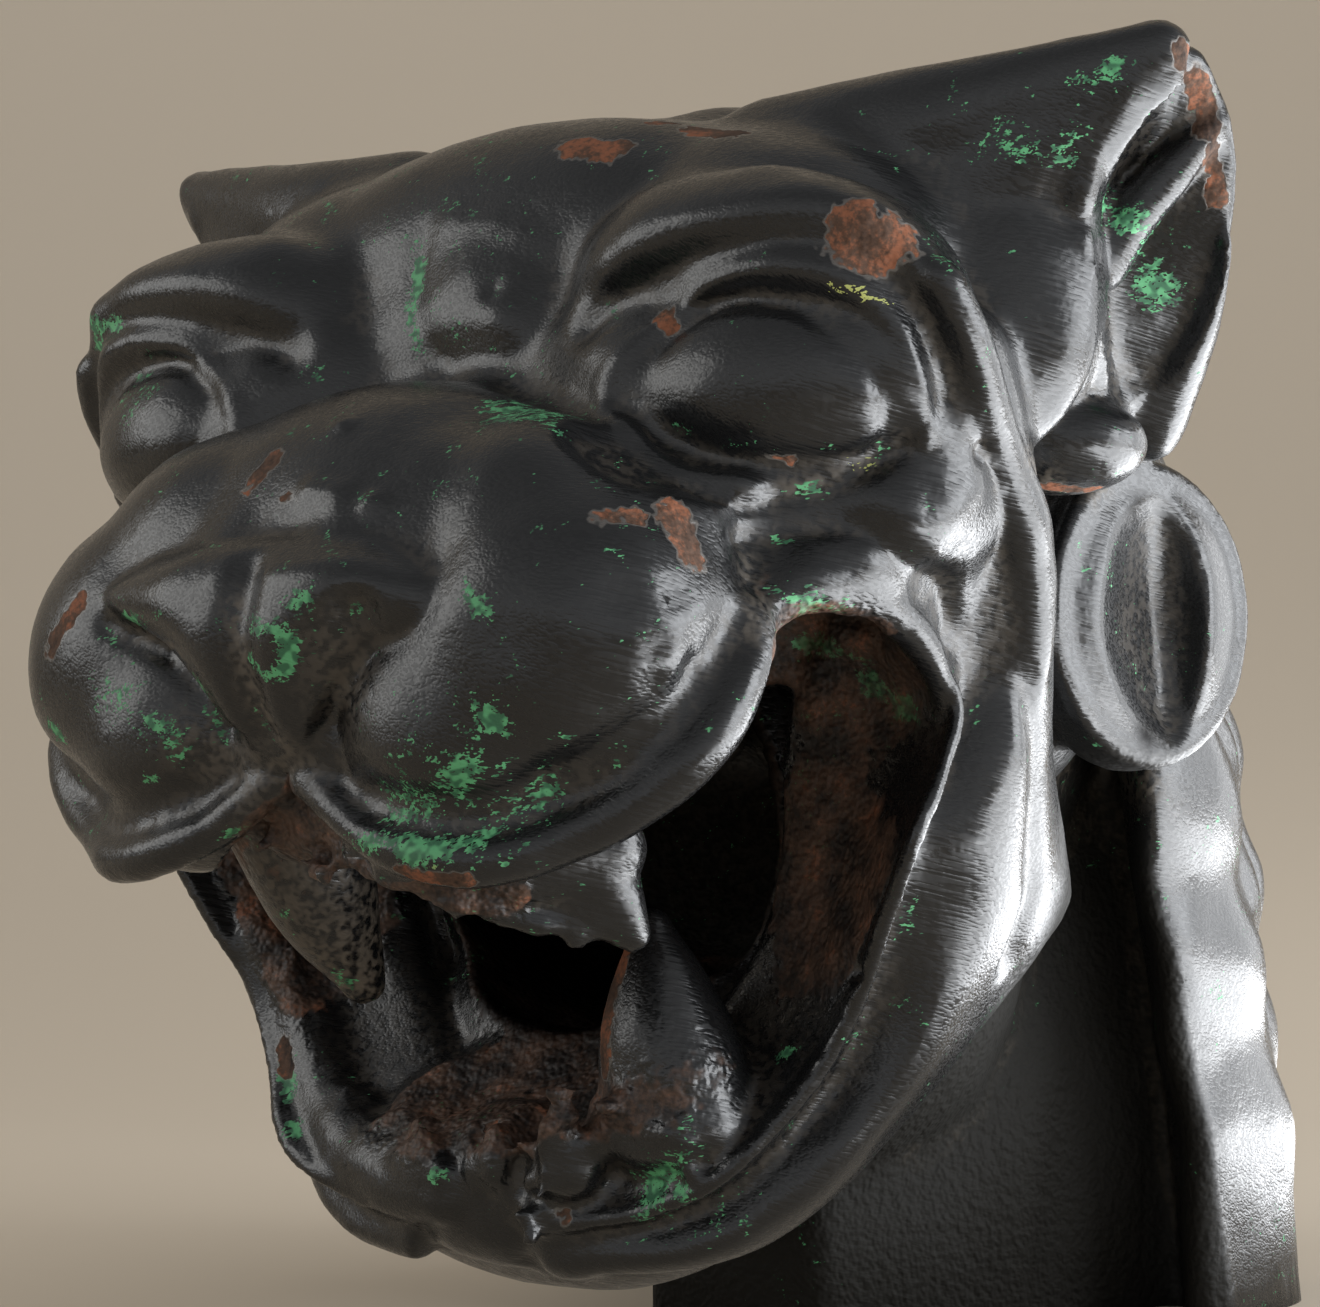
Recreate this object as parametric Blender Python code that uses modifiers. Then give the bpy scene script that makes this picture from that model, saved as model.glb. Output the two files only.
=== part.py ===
# A cast-iron gargoyle: the snarling head of a big cat on its neck, cut off flat below the chin.
# The beast looks along -Y, +X is its left side and +Z is up.
# The origin is the middle of the flat neck face.
import math

import bmesh
import bpy
import numpy as np
from mathutils import Euler, Matrix, Vector

# All lengths below are millimetres in the head's own frame, where 0,0,0 lies between the cheeks.
MM = 0.001
NECK_CUT = -172.0
NECK_MIDDLE = 129.0
CLAY_CELL = 3.0
DETAIL_CELL = 2.5
TRIANGLES = 9300

PAINT_COLOUR = (0.018, 0.019, 0.020, 1.0)
PAINT_ROUGHNESS = 0.32
PAINT_METALLIC = 0.0

# Soft masses: middle, half sizes, turn about X, Y, Z in degrees, True when there is one each side.
MASSES = (
    ("skull", (0, 2, 62), (96, 88, 71), (0, 0, 0), False),
    ("forehead", (0, -40, 80), (92, 40, 46), (14, 0, 0), False),
    ("brow_mass", (60, -34, 88), (46, 42, 30), (0, 12, 0), True),
    ("back_of_jaw", (0, 22, -38), (84, 62, 88), (0, 0, 0), False),
    ("face_plate", (56, -54, 38), (58, 46, 52), (0, 0, 0), True),
    ("cheek", (84, -34, 22), (29, 42, 34), (0, 0, 0), True),
    ("muzzle", (0, -100, 10), (68, 46, 46), (20, 0, 0), False),
    ("muzzle_top", (34, -108, 11), (43, 37, 37), (12, 8, 0), True),
    ("pad", (52, -110, -6), (41, 40, 39), (0, 0, 8), True),
    ("pad_top", (60, -96, 12), (31, 34, 30), (0, 20, 0), True),
    ("pad_front", (38, -124, -22), (31, 27, 32), (0, 0, 0), True),
    ("chin", (0, -40, -124), (54, 36, 28), (-20, 0, 0), False),
    ("throat_floor", (0, 0, -98), (68, 46, 38), (0, 0, 0), False),
    ("nape", (0, 84, 4), (74, 82, 92), (0, 0, 0), False),
    ("neck_core", (0, 56, -70), (66, 60, 70), (0, 0, 0), False),
    ("ear_back", (58, 48, 14), (40, 44, 56), (0, 0, 0), True),
    ("ear_lobe", (106, -21, 74), (24, 14, 34), (0, 0, 25), True),
    ("cheek_fill", (106, -50, 27), (13, 22, 18), (0, 0, 0), True),
)

# Ropes of clay, laid on both sides: points as x, y, z and radius.
ROPES = (
    ("bridge", ((12, -84, 44, 16), (15, -112, 31, 17), (15, -132, 14, 16), (10, -142, 0, 12))),
    ("brow", ((22, -70, 80, 16), (56, -76, 82, 18), (90, -76, 80, 18), (108, -68, 69, 16),
              (108, -60, 46, 14))),
    ("cheekbone", ((108, -60, 46, 13), (105, -62, 26, 14), (96, -72, 14, 14), (82, -86, 14, 12))),
    ("face_edge", ((108, -44, 62, 12), (108, -28, 30, 12), (106, -18, 6, 10))),
    ("ear_root", ((80, -8, 96, 34), (108, -10, 110, 24), (128, -10, 119, 15), (143, -12, 130, 8))),
    ("ear_top", ((52, -30, 112, 16), (84, -28, 115, 15), (110, -22, 121, 12), (134, -16, 128, 8),
                 (145, -14, 131, 6))),
    ("ear_rim", ((143, -9, 129, 8), (146, 4, 106, 8), (134, 24, 78, 8), (114, 42, 52, 9))),
    ("ear_fill", ((106, 2, 98, 26), (118, 8, 82, 18), (104, 20, 62, 16))),
    ("under_ear", ((86, 8, 56, 20), (104, 4, 50, 12), (112, 10, 46, 8))),
)

# The neck: corners of its flat plan on one side, from the front to the back.
NECK_PLAN = ((26, 34), (52, 84), (74, 136), (78, 168), (60, 196), (0, 206))
NECK_TOP = -30.0
MANE_ROLLS = (
    ("crown", ((24, -16, 120, 12), (34, 34, 118, 17), (46, 84, 92, 20), (56, 124, 48, 22),
               (60, 156, -10, 22), (60, 180, -80, 22), (56, 196, -190, 20))),
    ("middle", ((0, 0, 124, 12), (0, 50, 112, 20), (2, 98, 88, 24), (4, 142, 40, 24),
                (4, 178, -20, 22), (4, 200, -90, 20), (4, 206, -190, 19))),
    ("temple", ((70, 20, 96, 20), (74, 54, 74, 20), (74, 88, 44, 20), (74, 116, 6, 20),
                (74, 142, -50, 20), (74, 168, -120, 18))),
)
MANE_WAVE = 40.0
MANE_WAVE_DEPTH = 0.10

# Skins over rails that lie side by side: a smooth curve along each rail, then round them all.
# The jaw's rails run from the corner of the mouth down to the chin.
JAW_RAILS = (
    ("lip", ((104, -60, -1), (109, -46, -15), (109, -51, -29), (107, -61, -46), (97, -58, -66),
             (87, -53, -83), (77, -57, -101), (62, -68, -120), (42, -70, -129), (18, -75, -133))),
    ("hollow", ((107, -40, 9), (101, -18, -10), (98, -20, -31), (95, -26, -49), (89, -28, -68),
                (82, -33, -86), (73, -39, -104), (58, -52, -122), (41, -64, -131), (18, -74, -136))),
    ("jowl", ((119, -30, 20), (116, -21, -4), (110, -23, -26), (106, -20, -44), (100, -17, -63),
              (94, -25, -79), (84, -35, -101), (68, -51, -125), (48, -63, -137), (22, -71, -141))),
    ("corner", ((110, 0, 11), (106, 5, -12), (102, 15, -30), (99, 28, -49), (96, 34, -63),
                (90, 15, -82), (79, -17, -111), (62, -35, -133), (45, -52, -142), (22, -64, -144))),
    ("hidden", ((92, 20, 10), (88, 26, -10), (84, 34, -30), (82, 40, -48), (78, 38, -64),
                (70, 18, -82), (60, -8, -104), (46, -24, -120), (32, -38, -128), (14, -48, -130))),
    ("inside", ((80, 0, 8), (74, 10, -8), (66, 12, -26), (62, 12, -44), (60, 10, -60),
                (56, 4, -76), (48, -8, -92), (38, -20, -102), (26, -36, -110), (12, -44, -114))),
    ("throat", ((74, -40, 4), (62, -36, -10), (57, -33, -26), (56, -32, -44), (53, -32, -62),
                (47, -34, -76), (38, -38, -88), (28, -44, -98), (20, -52, -106), (10, -60, -112))),
    ("wall", ((90, -46, 0), (88, -38, -14), (86, -38, -28), (84, -40, -45), (78, -42, -61),
              (70, -43, -77), (60, -47, -92), (46, -55, -106), (33, -64, -116), (14, -71, -121))),
)
# The band of mane down the side of the neck: one plan carried down, each level moved back.
BAND_PLAN = ((94, 80), (101, 101), (98, 117), (84, 126), (76, 100))
BAND_LEVELS = ((-14, -2, 0), (-40, 8, 0), (-58, 11, -3), (-78, 18, 1), (-100, 26, -2), (-122, 34, 1),
               (-146, 38, -1), (-192, 40, 1))
# The ear's rails run from its tip down to its root.
EAR_RAILS = (
    ("front", ((146, -14, 133), (138, -17, 119), (130, -18, 106), (127, -16, 92), (126, -12, 78),
               (121, -5, 62), (112, -6, 50))),
    ("cup", ((145, -6, 130), (136, 1, 118), (126, 6, 104), (121, 8, 88), (117, 11, 72), (113, 17, 60),
             (110, 20, 50))),
    ("rim", ((148, 0, 131), (149, 12, 117), (147, 17, 103), (141, 23, 86), (134, 28, 73), (125, 38, 58),
             (116, 46, 48))),
    ("back", ((145, 2, 134), (143, 17, 118), (138, 24, 103), (130, 32, 86), (122, 38, 72), (112, 48, 58),
              (104, 54, 48))),
    ("root", ((136, -4, 134), (124, 8, 120), (112, 12, 105), (104, 16, 88), (98, 20, 72), (92, 26, 58),
              (88, 28, 48))),
    ("temple", ((140, -14, 134), (124, -20, 121), (112, -22, 106), (106, -20, 92), (102, -16, 78),
                (98, -12, 62), (92, -10, 50))),
)
# The nose's rails run from its flat top down to the cleft of the lip.
NOSE_RAILS = (
    ("near_wing", ((22, -134, 20), (38, -138, 14), (46, -139, 6), (29, -142, -4), (18, -144, -14),
                   (10, -144, -24), (4, -140, -31))),
    ("near_lobe", ((12, -141, 20), (21, -152, 14), (26, -156, 6), (16, -158, -4), (10, -155, -14),
                   (6, -150, -24), (2, -142, -31))),
    ("middle", ((0, -142, 20), (0, -151, 14), (0, -155, 6), (0, -156, -4), (0, -154, -14), (0, -149, -24),
                (0, -142, -31))),
    ("far_lobe", ((-12, -141, 20), (-21, -152, 14), (-26, -157, 6), (-16, -158, -4), (-10, -155, -14),
                  (-6, -150, -24), (-2, -142, -31))),
    ("far_wing", ((-22, -134, 20), (-38, -140, 14), (-48, -144, 6), (-29, -144, -4), (-18, -144, -14),
                  (-10, -144, -24), (-4, -140, -31))),
    ("root", ((0, -120, 18), (0, -120, 12), (0, -120, 4), (0, -120, -4), (0, -120, -14), (0, -122, -24),
              (0, -126, -29))),
)
# The curl behind the ear is a flat egg with a slit in it, both given from the curl's own middle.
CURL_MIDDLE = (100, 58, 9)
CURL_TURN = -16.0
CURL_HALF = (17, 38, 40)
CURL_SLIT = (
    ("front", ((14, -15, 33), (18, -26, 19), (18, -31, -1), (18, -26, -21), (14, -12, -33))),
    ("floor", ((12, -2, 33), (5, 4, 19), (2, 7, -1), (4, 8, -23), (11, 6, -35))),
    ("rear", ((14, 0, 33), (20, 10, 19), (20, 13, -1), (20, 12, -23), (14, 8, -35))),
    ("mouth", ((18, -6, 33), (26, -8, 19), (28, -10, -1), (26, -6, -23), (18, 0, -35))),
)

# Hollows: the bowl of the open mouth, the throat and the gap under the muzzle.
MOUTH_BOWL = (
    ("bowl", (0, -78, -48), (94, 44, 68), (0, 0, 0), False),
    ("corner", (78, -72, -14), (31, 37, 30), (0, 0, 0), True),
    ("side_wall", (64, -70, -46), (37, 36, 48), (0, 0, 0), True),
    ("palate", (0, -104, -46), (46, 32, 26), (0, 0, 0), False),
)
THROAT_RADIUS = 50.0
THROAT_MIDDLE = (0, -42)
THROAT_FRONT = -70.0
THROAT_BACK = 32.0

# Smaller hollows carved into the masses before the fine features go on.
CARVED_BALLS = (
    ("eye_socket", (88, -112, 52), (38, 25, 29), (0, -4, 26), True),
    ("cleft", (0, -147, -54), (13, 12, 20), (0, 0, 0), False),
)
CARVED_ROPES = (
    ("ear_cup", ((149, -5, 127, 6), (145, -2, 117, 12), (141, 0, 104, 16), (137, 4, 90, 17),
                 (133, 9, 75, 15), (126, 17, 61, 10))),
)
NOSTRIL = (("nostril", (25, -158, -11), (12, 13, 13), (0, 0, 0), False),)

# Features added last.
FEATURE_BALLS = (
    ("eyeball", (86, -75, 52), (33, 20, 21), (0, -4, 26), True),
    ("gum", (0, -124, -38), (26, 12, 14), (0, 0, 0), False),
    ("under_nose", (8, -134, -26), (10, 10, 10), (0, 0, 0), True),
    ("fang_root", (44, -62, -110), (20, 15, 12), (0, 0, 0), False),
    ("lip_bump", (25, -74, -119), (9, 8, 8), (0, 0, 0), False),
    ("lip_bump", (6, -77, -120), (7, 5, 7), (0, 0, 0), False),
    ("lip_bump", (-14, -75, -121), (9, 6, 7), (0, 0, 0), False),
    ("chin_bump", (20, -64, -140), (10, 8, 6), (0, 0, 0), False),
    ("ear_bulb", (107, 8, 46), (21, 17, 12), (0, 0, 30), True),
)
FEATURE_ROPES = (
    ("face_edge", ((120, -75, 70, 5), (122, -67, 60, 6), (121, -58, 50, 6), (118, -44, 38, 6),
                   (117, -31, 22, 7), (114, -22, 4, 7), (110, -19, -14, 6))),
    ("mouth_corner", ((86, -100, -2, 6), (92, -92, 6, 6), (99, -80, 8, 6), (104, -64, 2, 5),
                      (106, -52, -7, 4), (105, -43, -17, 3))),
    ("upper_lip", ((5, -140, -34, 4), (18, -141, -42, 5), (34, -142, -48, 6), (50, -138, -50, 6),
                   (65, -128, -45, 6), (79, -122, -37, 6), (88, -115, -26, 7), (90, -107, -12, 8),
                   (88, -100, 0, 8))),
    ("ear_margin", ((140, -16, 128, 4), (138, -18, 122, 4), (134, -17, 115, 4), (129, -18, 108, 4),
                    (126, -18, 98, 4))),
    ("ear_ridge", ((147, 10, 117, 3), (138, 6, 107, 5), (128, 1, 94, 6), (123, -2, 84, 6))),
)
# These differ from side to side and are laid once.
TEETH_AND_LIPS = (
    ("near_gum", ((-2, -130, -36, 6), (12, -130, -44, 7), (32, -131, -50, 7), (50, -121, -52, 7),
                  (60, -108, -48, 8))),
    ("near_fang", ((44, -112, -40, 16), (50, -112, -47, 15), (57, -109, -55, 9), (62, -106, -62, 3.5))),
    ("far_fang", ((-46, -110, -12, 15), (-46, -90, -34, 17), (-44, -78, -58, 14), (-41, -66, -80, 6))),
    ("lower_fang", ((44, -58, -106, 18), (42, -61, -92, 16), (40, -63, -78, 10), (37, -64, -68, 5))),
    ("far_lip", ((-88, -50, -70, 6), (-80, -46, -84, 8), (-70, -48, -98, 10), (-58, -54, -112, 10),
                 (-42, -62, -121, 10), (-24, -70, -126, 9), (-8, -74, -128, 7))),
    ("nose_wing", ((8, -150, 5, 9), (20, -150, 5, 9), (32, -145, 5, 9), (42, -137, 4, 8))),
)

# Modelling strokes: width, height (minus cuts in), True when there is one each side, and the way they run.
STROKES = (
    ("brow_ridge", 9, 2.5, True, ((35, -92, 75), (49, -95, 79), (65, -97, 84), (86, -95, 86),
                                  (98, -92, 87), (108, -89, 84))),
    ("temple", 7, 2.0, True, ((111, -85, 83), (117, -78, 76), (123, -72, 65), (124, -65, 53),
                              (122, -56, 43), (120, -36, 22))),
    ("lid_groove", 5, -2.8, True, ((44, -89, 65), (55, -90, 73), (68, -92, 78), (84, -93, 80),
                                   (97, -91, 80), (107, -88, 78), (114, -81, 71), (118, -75, 61),
                                   (118, -67, 49))),
    ("muzzle_edge", 5, -3.5, True, ((6, -83, 61), (16, -88, 57), (37, -94, 50), (58, -101, 41),
                                    (75, -101, 30), (87, -99, 18), (92, -98, 8))),
    ("boss", 14, 3.5, False, ((12, -86, 78), (13, -86, 78))),
    ("cheekbone", 7, 2.5, True, ((118, -58, 28), (116, -71, 19), (110, -77, 26))),
    ("lip_groove", 6, -3.0, True, ((26, -143, -36), (42, -143, -38), (54, -139, -37), (65, -133, -32),
                                   (77, -129, -25), (86, -121, -16), (92, -110, -5))),
    ("corner_groove", 4, -2.5, True, ((84, -98, 16), (95, -86, 19), (104, -70, 16), (110, -54, 8),
                                      (110, -42, -2))),
    ("jowl_crease", 5, -2.5, True, ((115, -23, -13), (109, -15, -28), (106, -10, -44), (102, -4, -58),
                                    (97, -6, -71))),
    ("upper_lid", 4, 2.2, True, ((53, -101, 51), (64, -96, 64), (79, -95, 72), (100, -93, 73),
                                 (112, -84, 64), (117, -75, 50), (117, -72, 40))),
    ("under_lid", 4, 2.0, True, ((54, -100, 46), (63, -102, 38), (75, -101, 32), (88, -95, 28))),
    ("nose_groove", 5, -2.6, False, ((1, -158, 12), (1, -159, 4), (0, -158, -6), (1, -155, -16),
                                     (0, -150, -24))),
    ("boss_side", 5, -2.4, False, ((-14, -78, 95), (-13, -83, 79), (-2, -87, 61))),
    ("boss_side", 5, -2.2, False, ((24, -82, 90), (27, -86, 76), (33, -89, 64))),
    ("chin_crease", 4, -3.0, False, ((14, -74, -104), (16, -79, -114), (14, -79, -128), (10, -68, -142))),
)


def clear_scene():
    for thing in list(bpy.data.objects):
        bpy.data.objects.remove(thing, do_unlink=True)


def add_mesh(name, shape):
    mesh = bpy.data.meshes.new(name)
    shape.to_mesh(mesh)
    shape.free()
    thing = bpy.data.objects.new(name, mesh)
    bpy.context.scene.collection.objects.link(thing)
    return thing


def mirrored(point):
    return (-point[0],) + tuple(point[1:])


def ball(name, middle, half, turn=(0, 0, 0)):
    shape = bmesh.new()
    bmesh.ops.create_icosphere(shape, subdivisions=4, radius=1.0)
    turned = Euler([math.radians(a) for a in turn]).to_matrix().to_4x4()
    place = Matrix.Translation(Vector(middle) * MM) @ turned @ Matrix.Diagonal((*[h * MM for h in half], 1))
    bmesh.ops.transform(shape, matrix=place, verts=shape.verts)
    return add_mesh(name, shape)


def balls(table):
    made = []
    for name, middle, half, turn, paired in table:
        made.append(ball(name, middle, half, turn))
        if paired:
            made.append(ball(name, mirrored(middle), half, (turn[0], -turn[1], -turn[2])))
    return made


def rope(name, points):
    curve = bpy.data.curves.new(name, "CURVE")
    curve.dimensions = "3D"
    curve.bevel_depth = MM
    curve.bevel_resolution = 4
    curve.resolution_u = 8
    curve.use_fill_caps = True
    line = curve.splines.new("BEZIER")
    line.bezier_points.add(len(points) - 1)
    for knot, point in zip(line.bezier_points, points):
        knot.co = Vector(point[:3]) * MM
        knot.radius = point[3]
        knot.handle_left_type = "AUTO"
        knot.handle_right_type = "AUTO"
    thing = bpy.data.objects.new(name, curve)
    bpy.context.scene.collection.objects.link(thing)
    bpy.context.view_layer.update()
    mesh = bpy.data.meshes.new_from_object(thing.evaluated_get(bpy.context.evaluated_depsgraph_get()))
    bpy.data.objects.remove(thing)
    shape = bmesh.new()
    shape.from_mesh(mesh)
    bmesh.ops.remove_doubles(shape, verts=shape.verts, dist=0.00001)
    bmesh.ops.recalc_face_normals(shape, faces=shape.faces)
    bpy.data.meshes.remove(mesh)
    return add_mesh(name, shape)


def ropes(table):
    made = []
    for name, points in table:
        made.append(rope(name, points))
        made.append(rope(name, [mirrored(p) for p in points]))
    return made


def smooth(knots, places, closed=False):
    """Points of a smooth curve through the knots, at places counted in knots along it."""
    knots = np.array(knots, float)
    last = len(knots) - 1
    first = np.minimum(places.astype(int), last if closed else last - 1)
    step = (places - first).reshape(-1, *[1] * (knots.ndim - 1))
    near = [first + k for k in (-1, 0, 1, 2)]
    near = [n % len(knots) if closed else np.clip(n, 0, last) for n in near]
    a, b, c, d = (knots[n] for n in near)
    return b + 0.5 * step * (c - a + step * (2 * a - 5 * b + 4 * c - d + step * (3 * (b - c) + d - a)))


def skin(name, rails, steps=6):
    """A closed skin over rails that lie side by side round it."""
    along = np.arange((len(rails[0]) - 1) * steps + 1) / steps
    lines = np.array([smooth(rail, along) for rail in rails])
    rings = smooth(lines, np.arange(len(rails) * steps) / steps, closed=True).transpose(1, 0, 2)
    shape = bmesh.new()
    rows = [[shape.verts.new(Vector(point) * MM) for point in ring] for ring in rings]
    for low, high in zip(rows, rows[1:]):
        for k in range(len(low)):
            shape.faces.new((low[k - 1], low[k], high[k], high[k - 1]))
    shape.faces.new(rows[0])
    shape.faces.new(rows[-1])
    bmesh.ops.triangulate(shape, faces=shape.faces)
    bmesh.ops.recalc_face_normals(shape, faces=shape.faces)
    return add_mesh(name, shape)


def skins(name, rails):
    """The same skin on both sides of the beast."""
    return [skin(name, rails), skin(name, [[mirrored(p) for p in rail] for rail in rails])]


def band_rails():
    """The plan of the mane's band at every level, turned into one rail for each corner."""
    return [[(x + bulge, y + back, z) for z, back, bulge in BAND_LEVELS] for x, y in BAND_PLAN]


def named(rails):
    return [points for name, points in rails]


def curls():
    """The curl with its slit, and the same on the other side."""
    x, y, z = CURL_MIDDLE
    lump = clay("curl", [ball("egg", CURL_MIDDLE, CURL_HALF, (0, 0, CURL_TURN))], DETAIL_CELL, 1)
    slit = skin("slit", named(CURL_SLIT))
    turn = Matrix.Rotation(math.radians(CURL_TURN), 4, "Z")
    slit.data.transform(Matrix.Translation((x * MM, y * MM, z * MM)) @ turn)
    cut(lump, clay("slit", [slit], DETAIL_CELL, 1))
    shape = bmesh.new()
    shape.from_mesh(lump.data)
    bmesh.ops.scale(shape, vec=(-1, 1, 1), verts=shape.verts)
    bmesh.ops.reverse_faces(shape, faces=shape.faces)
    return [lump, add_mesh("far_curl", shape)]


def applied(thing):
    bpy.context.view_layer.update()
    mesh = bpy.data.meshes.new_from_object(thing.evaluated_get(bpy.context.evaluated_depsgraph_get()))
    thing.modifiers.clear()
    thing.data = mesh
    return thing


def joined(name, things):
    shape = bmesh.new()
    for thing in things:
        shape.from_mesh(thing.data)
        bpy.data.objects.remove(thing)
    return add_mesh(name, shape)


def clay(name, things, cell, smooth):
    lump = joined(name, things)
    remesh = lump.modifiers.new("remesh", "REMESH")
    remesh.mode = "VOXEL"
    remesh.voxel_size = cell * MM
    soften = lump.modifiers.new("soften", "SMOOTH")
    soften.factor = 0.5
    soften.iterations = smooth
    return applied(lump)


def cut(lump, cutter):
    change = lump.modifiers.new("cut", "BOOLEAN")
    change.operation = "DIFFERENCE"
    change.solver = "EXACT"
    change.object = cutter
    applied(lump)
    bpy.data.objects.remove(cutter)
    return lump


def prism(name, plan, low, high):
    shape = bmesh.new()
    outline = [p for p in plan] + [mirrored(p) for p in reversed(plan) if p[0]]
    ring = [shape.verts.new((x * MM, y * MM, low * MM)) for x, y in outline]
    face = shape.faces.new(ring)
    lifted = bmesh.ops.extrude_face_region(shape, geom=[face])
    raised = [g for g in lifted["geom"] if isinstance(g, bmesh.types.BMVert)]
    bmesh.ops.translate(shape, vec=(0, 0, (high - low) * MM), verts=raised)
    bmesh.ops.recalc_face_normals(shape, faces=shape.faces)
    return add_mesh(name, shape)


def rod(name, radius, start, end):
    """A round rod from one point to another."""
    shape = bmesh.new()
    a, b = Vector(start) * MM, Vector(end) * MM
    place = Matrix.Translation((a + b) / 2) @ (b - a).to_track_quat("Z", "Y").to_matrix().to_4x4()
    bmesh.ops.create_cone(shape, cap_ends=True, segments=48, radius1=radius * MM, radius2=radius * MM,
                          depth=(b - a).length, matrix=place)
    return add_mesh(name, shape)


def waved(points):
    """Break a roll of mane into short steps and let its thickness swell and sink."""
    steps = []
    for start, end in zip(points, points[1:]):
        for k in range(3):
            t = k / 3
            x, y, z, r = (a + (b - a) * t for a, b in zip(start, end))
            steps.append((x, y, z, r))
    steps.append(points[-1])
    out, run = [], 0.0
    for k, (x, y, z, r) in enumerate(steps):
        if k:
            run += math.dist(steps[k - 1][:3], (x, y, z))
        swell = math.sin(2 * math.pi * run / MANE_WAVE)
        out.append((x, y, z, r * (1 + MANE_WAVE_DEPTH * swell)))
    return out


def build_masses():
    neck = prism("neck", NECK_PLAN, NECK_CUT - 14, NECK_TOP)
    mane = ropes([(name, waved(points)) for name, points in MANE_ROLLS]) + skins("band", band_rails())
    return clay("gargoyle", balls(MASSES) + ropes(ROPES) + [neck] + mane, CLAY_CELL, 12)


def carve_hollows(lump):
    cut(lump, clay("mouth", balls(MOUTH_BOWL), CLAY_CELL, 6))
    x, z = THROAT_MIDDLE
    cut(lump, rod("throat", THROAT_RADIUS, (x, THROAT_FRONT, z), (x, THROAT_BACK, z + 6)))
    cut(lump, clay("carving", balls(CARVED_BALLS) + ropes(CARVED_ROPES), DETAIL_CELL, 1))


def add_features(lump):
    shapes = balls(FEATURE_BALLS) + ropes(FEATURE_ROPES) + curls()
    shapes += skins("jaw", named(JAW_RAILS)) + skins("ear", named(EAR_RAILS))
    shapes.append(skin("nose", named(NOSE_RAILS)))
    shapes += [rope(name, points) for name, points in TEETH_AND_LIPS]
    lump = clay("gargoyle", [lump] + shapes, DETAIL_CELL, 2)
    cut(lump, clay("nostril", balls(NOSTRIL), DETAIL_CELL, 0))
    return clay("gargoyle", [lump], DETAIL_CELL, 2)


def distance_to(points, line):
    """Distance of every point from a line of straight steps."""
    best = np.full(len(points), 1.0e9)
    for a, b in zip(line, line[1:]):
        t = np.clip((points - a) @ (b - a) / ((b - a) @ (b - a)), 0, 1)
        best = np.minimum(best, np.linalg.norm(points - a - t[:, None] * (b - a), axis=1))
    return best


def make_strokes(lump):
    """Push the clay out or in along its normals beside every stroke."""
    points = np.array([v.co for v in lump.data.vertices]) / MM
    normals = np.array([v.normal for v in lump.data.vertices])
    lift = np.zeros(len(points))
    for name, width, height, paired, knots in STROKES:
        line = smooth(knots, np.linspace(0, len(knots) - 1, 4 * len(knots)))
        line = [np.array(lump.closest_point_on_mesh(Vector(p) * MM)[1]) / MM for p in line]
        for side in (1, -1) if paired else (1,):
            away = distance_to(points, [p * (side, 1, 1) for p in line])
            lift += height * np.exp(-(away / width) ** 2)
    moved = (points + normals * lift[:, None]) * MM
    lump.data.vertices.foreach_set("co", moved.ravel())
    lump.data.update()


def thin_out(lump):
    """Bring the clay down to a plain mesh."""
    fewer = lump.modifiers.new("thin", "DECIMATE")
    fewer.ratio = TRIANGLES / (2 * len(lump.data.polygons))
    fewer.use_collapse_triangulate = True
    return applied(lump)


def stand_on_neck(lump):
    """Cut the neck off flat and move the origin to the middle of the cut."""
    shape = bmesh.new()
    bmesh.ops.create_cube(shape, size=1.0, matrix=Matrix.Translation((0, 0, (NECK_CUT - 50) * MM))
                          @ Matrix.Diagonal((0.6, 0.8, 100 * MM, 1)))
    cut(lump, add_mesh("cut_off", shape))
    lump.data.transform(Matrix.Translation((0, -NECK_MIDDLE * MM, -NECK_CUT * MM)))
    return lump


def paint():
    material = bpy.data.materials.new("black_paint")
    material.use_nodes = True
    shader = material.node_tree.nodes["Principled BSDF"]
    shader.inputs["Base Color"].default_value = PAINT_COLOUR
    shader.inputs["Roughness"].default_value = PAINT_ROUGHNESS
    shader.inputs["Metallic"].default_value = PAINT_METALLIC
    return material


def collect(lump):
    """Name the finished casting, paint it and put it in its own collection."""
    lump.name = "gargoyle"
    lump.data.name = "gargoyle"
    lump.data.materials.clear()
    lump.data.materials.append(paint())
    for side in lump.data.polygons:
        side.material_index = 0
    lump.data.shade_smooth()
    home = bpy.data.collections.new("gargoyle")
    bpy.context.scene.collection.children.link(home)
    bpy.context.scene.collection.objects.unlink(lump)
    home.objects.link(lump)


clear_scene()
gargoyle = build_masses()
carve_hollows(gargoyle)
gargoyle = add_features(gargoyle)
make_strokes(gargoyle)
thin_out(gargoyle)
stand_on_neck(gargoyle)
collect(gargoyle)
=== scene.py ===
import math

import bmesh
import bpy
import numpy as np
from mathutils import Matrix, Vector


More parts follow.
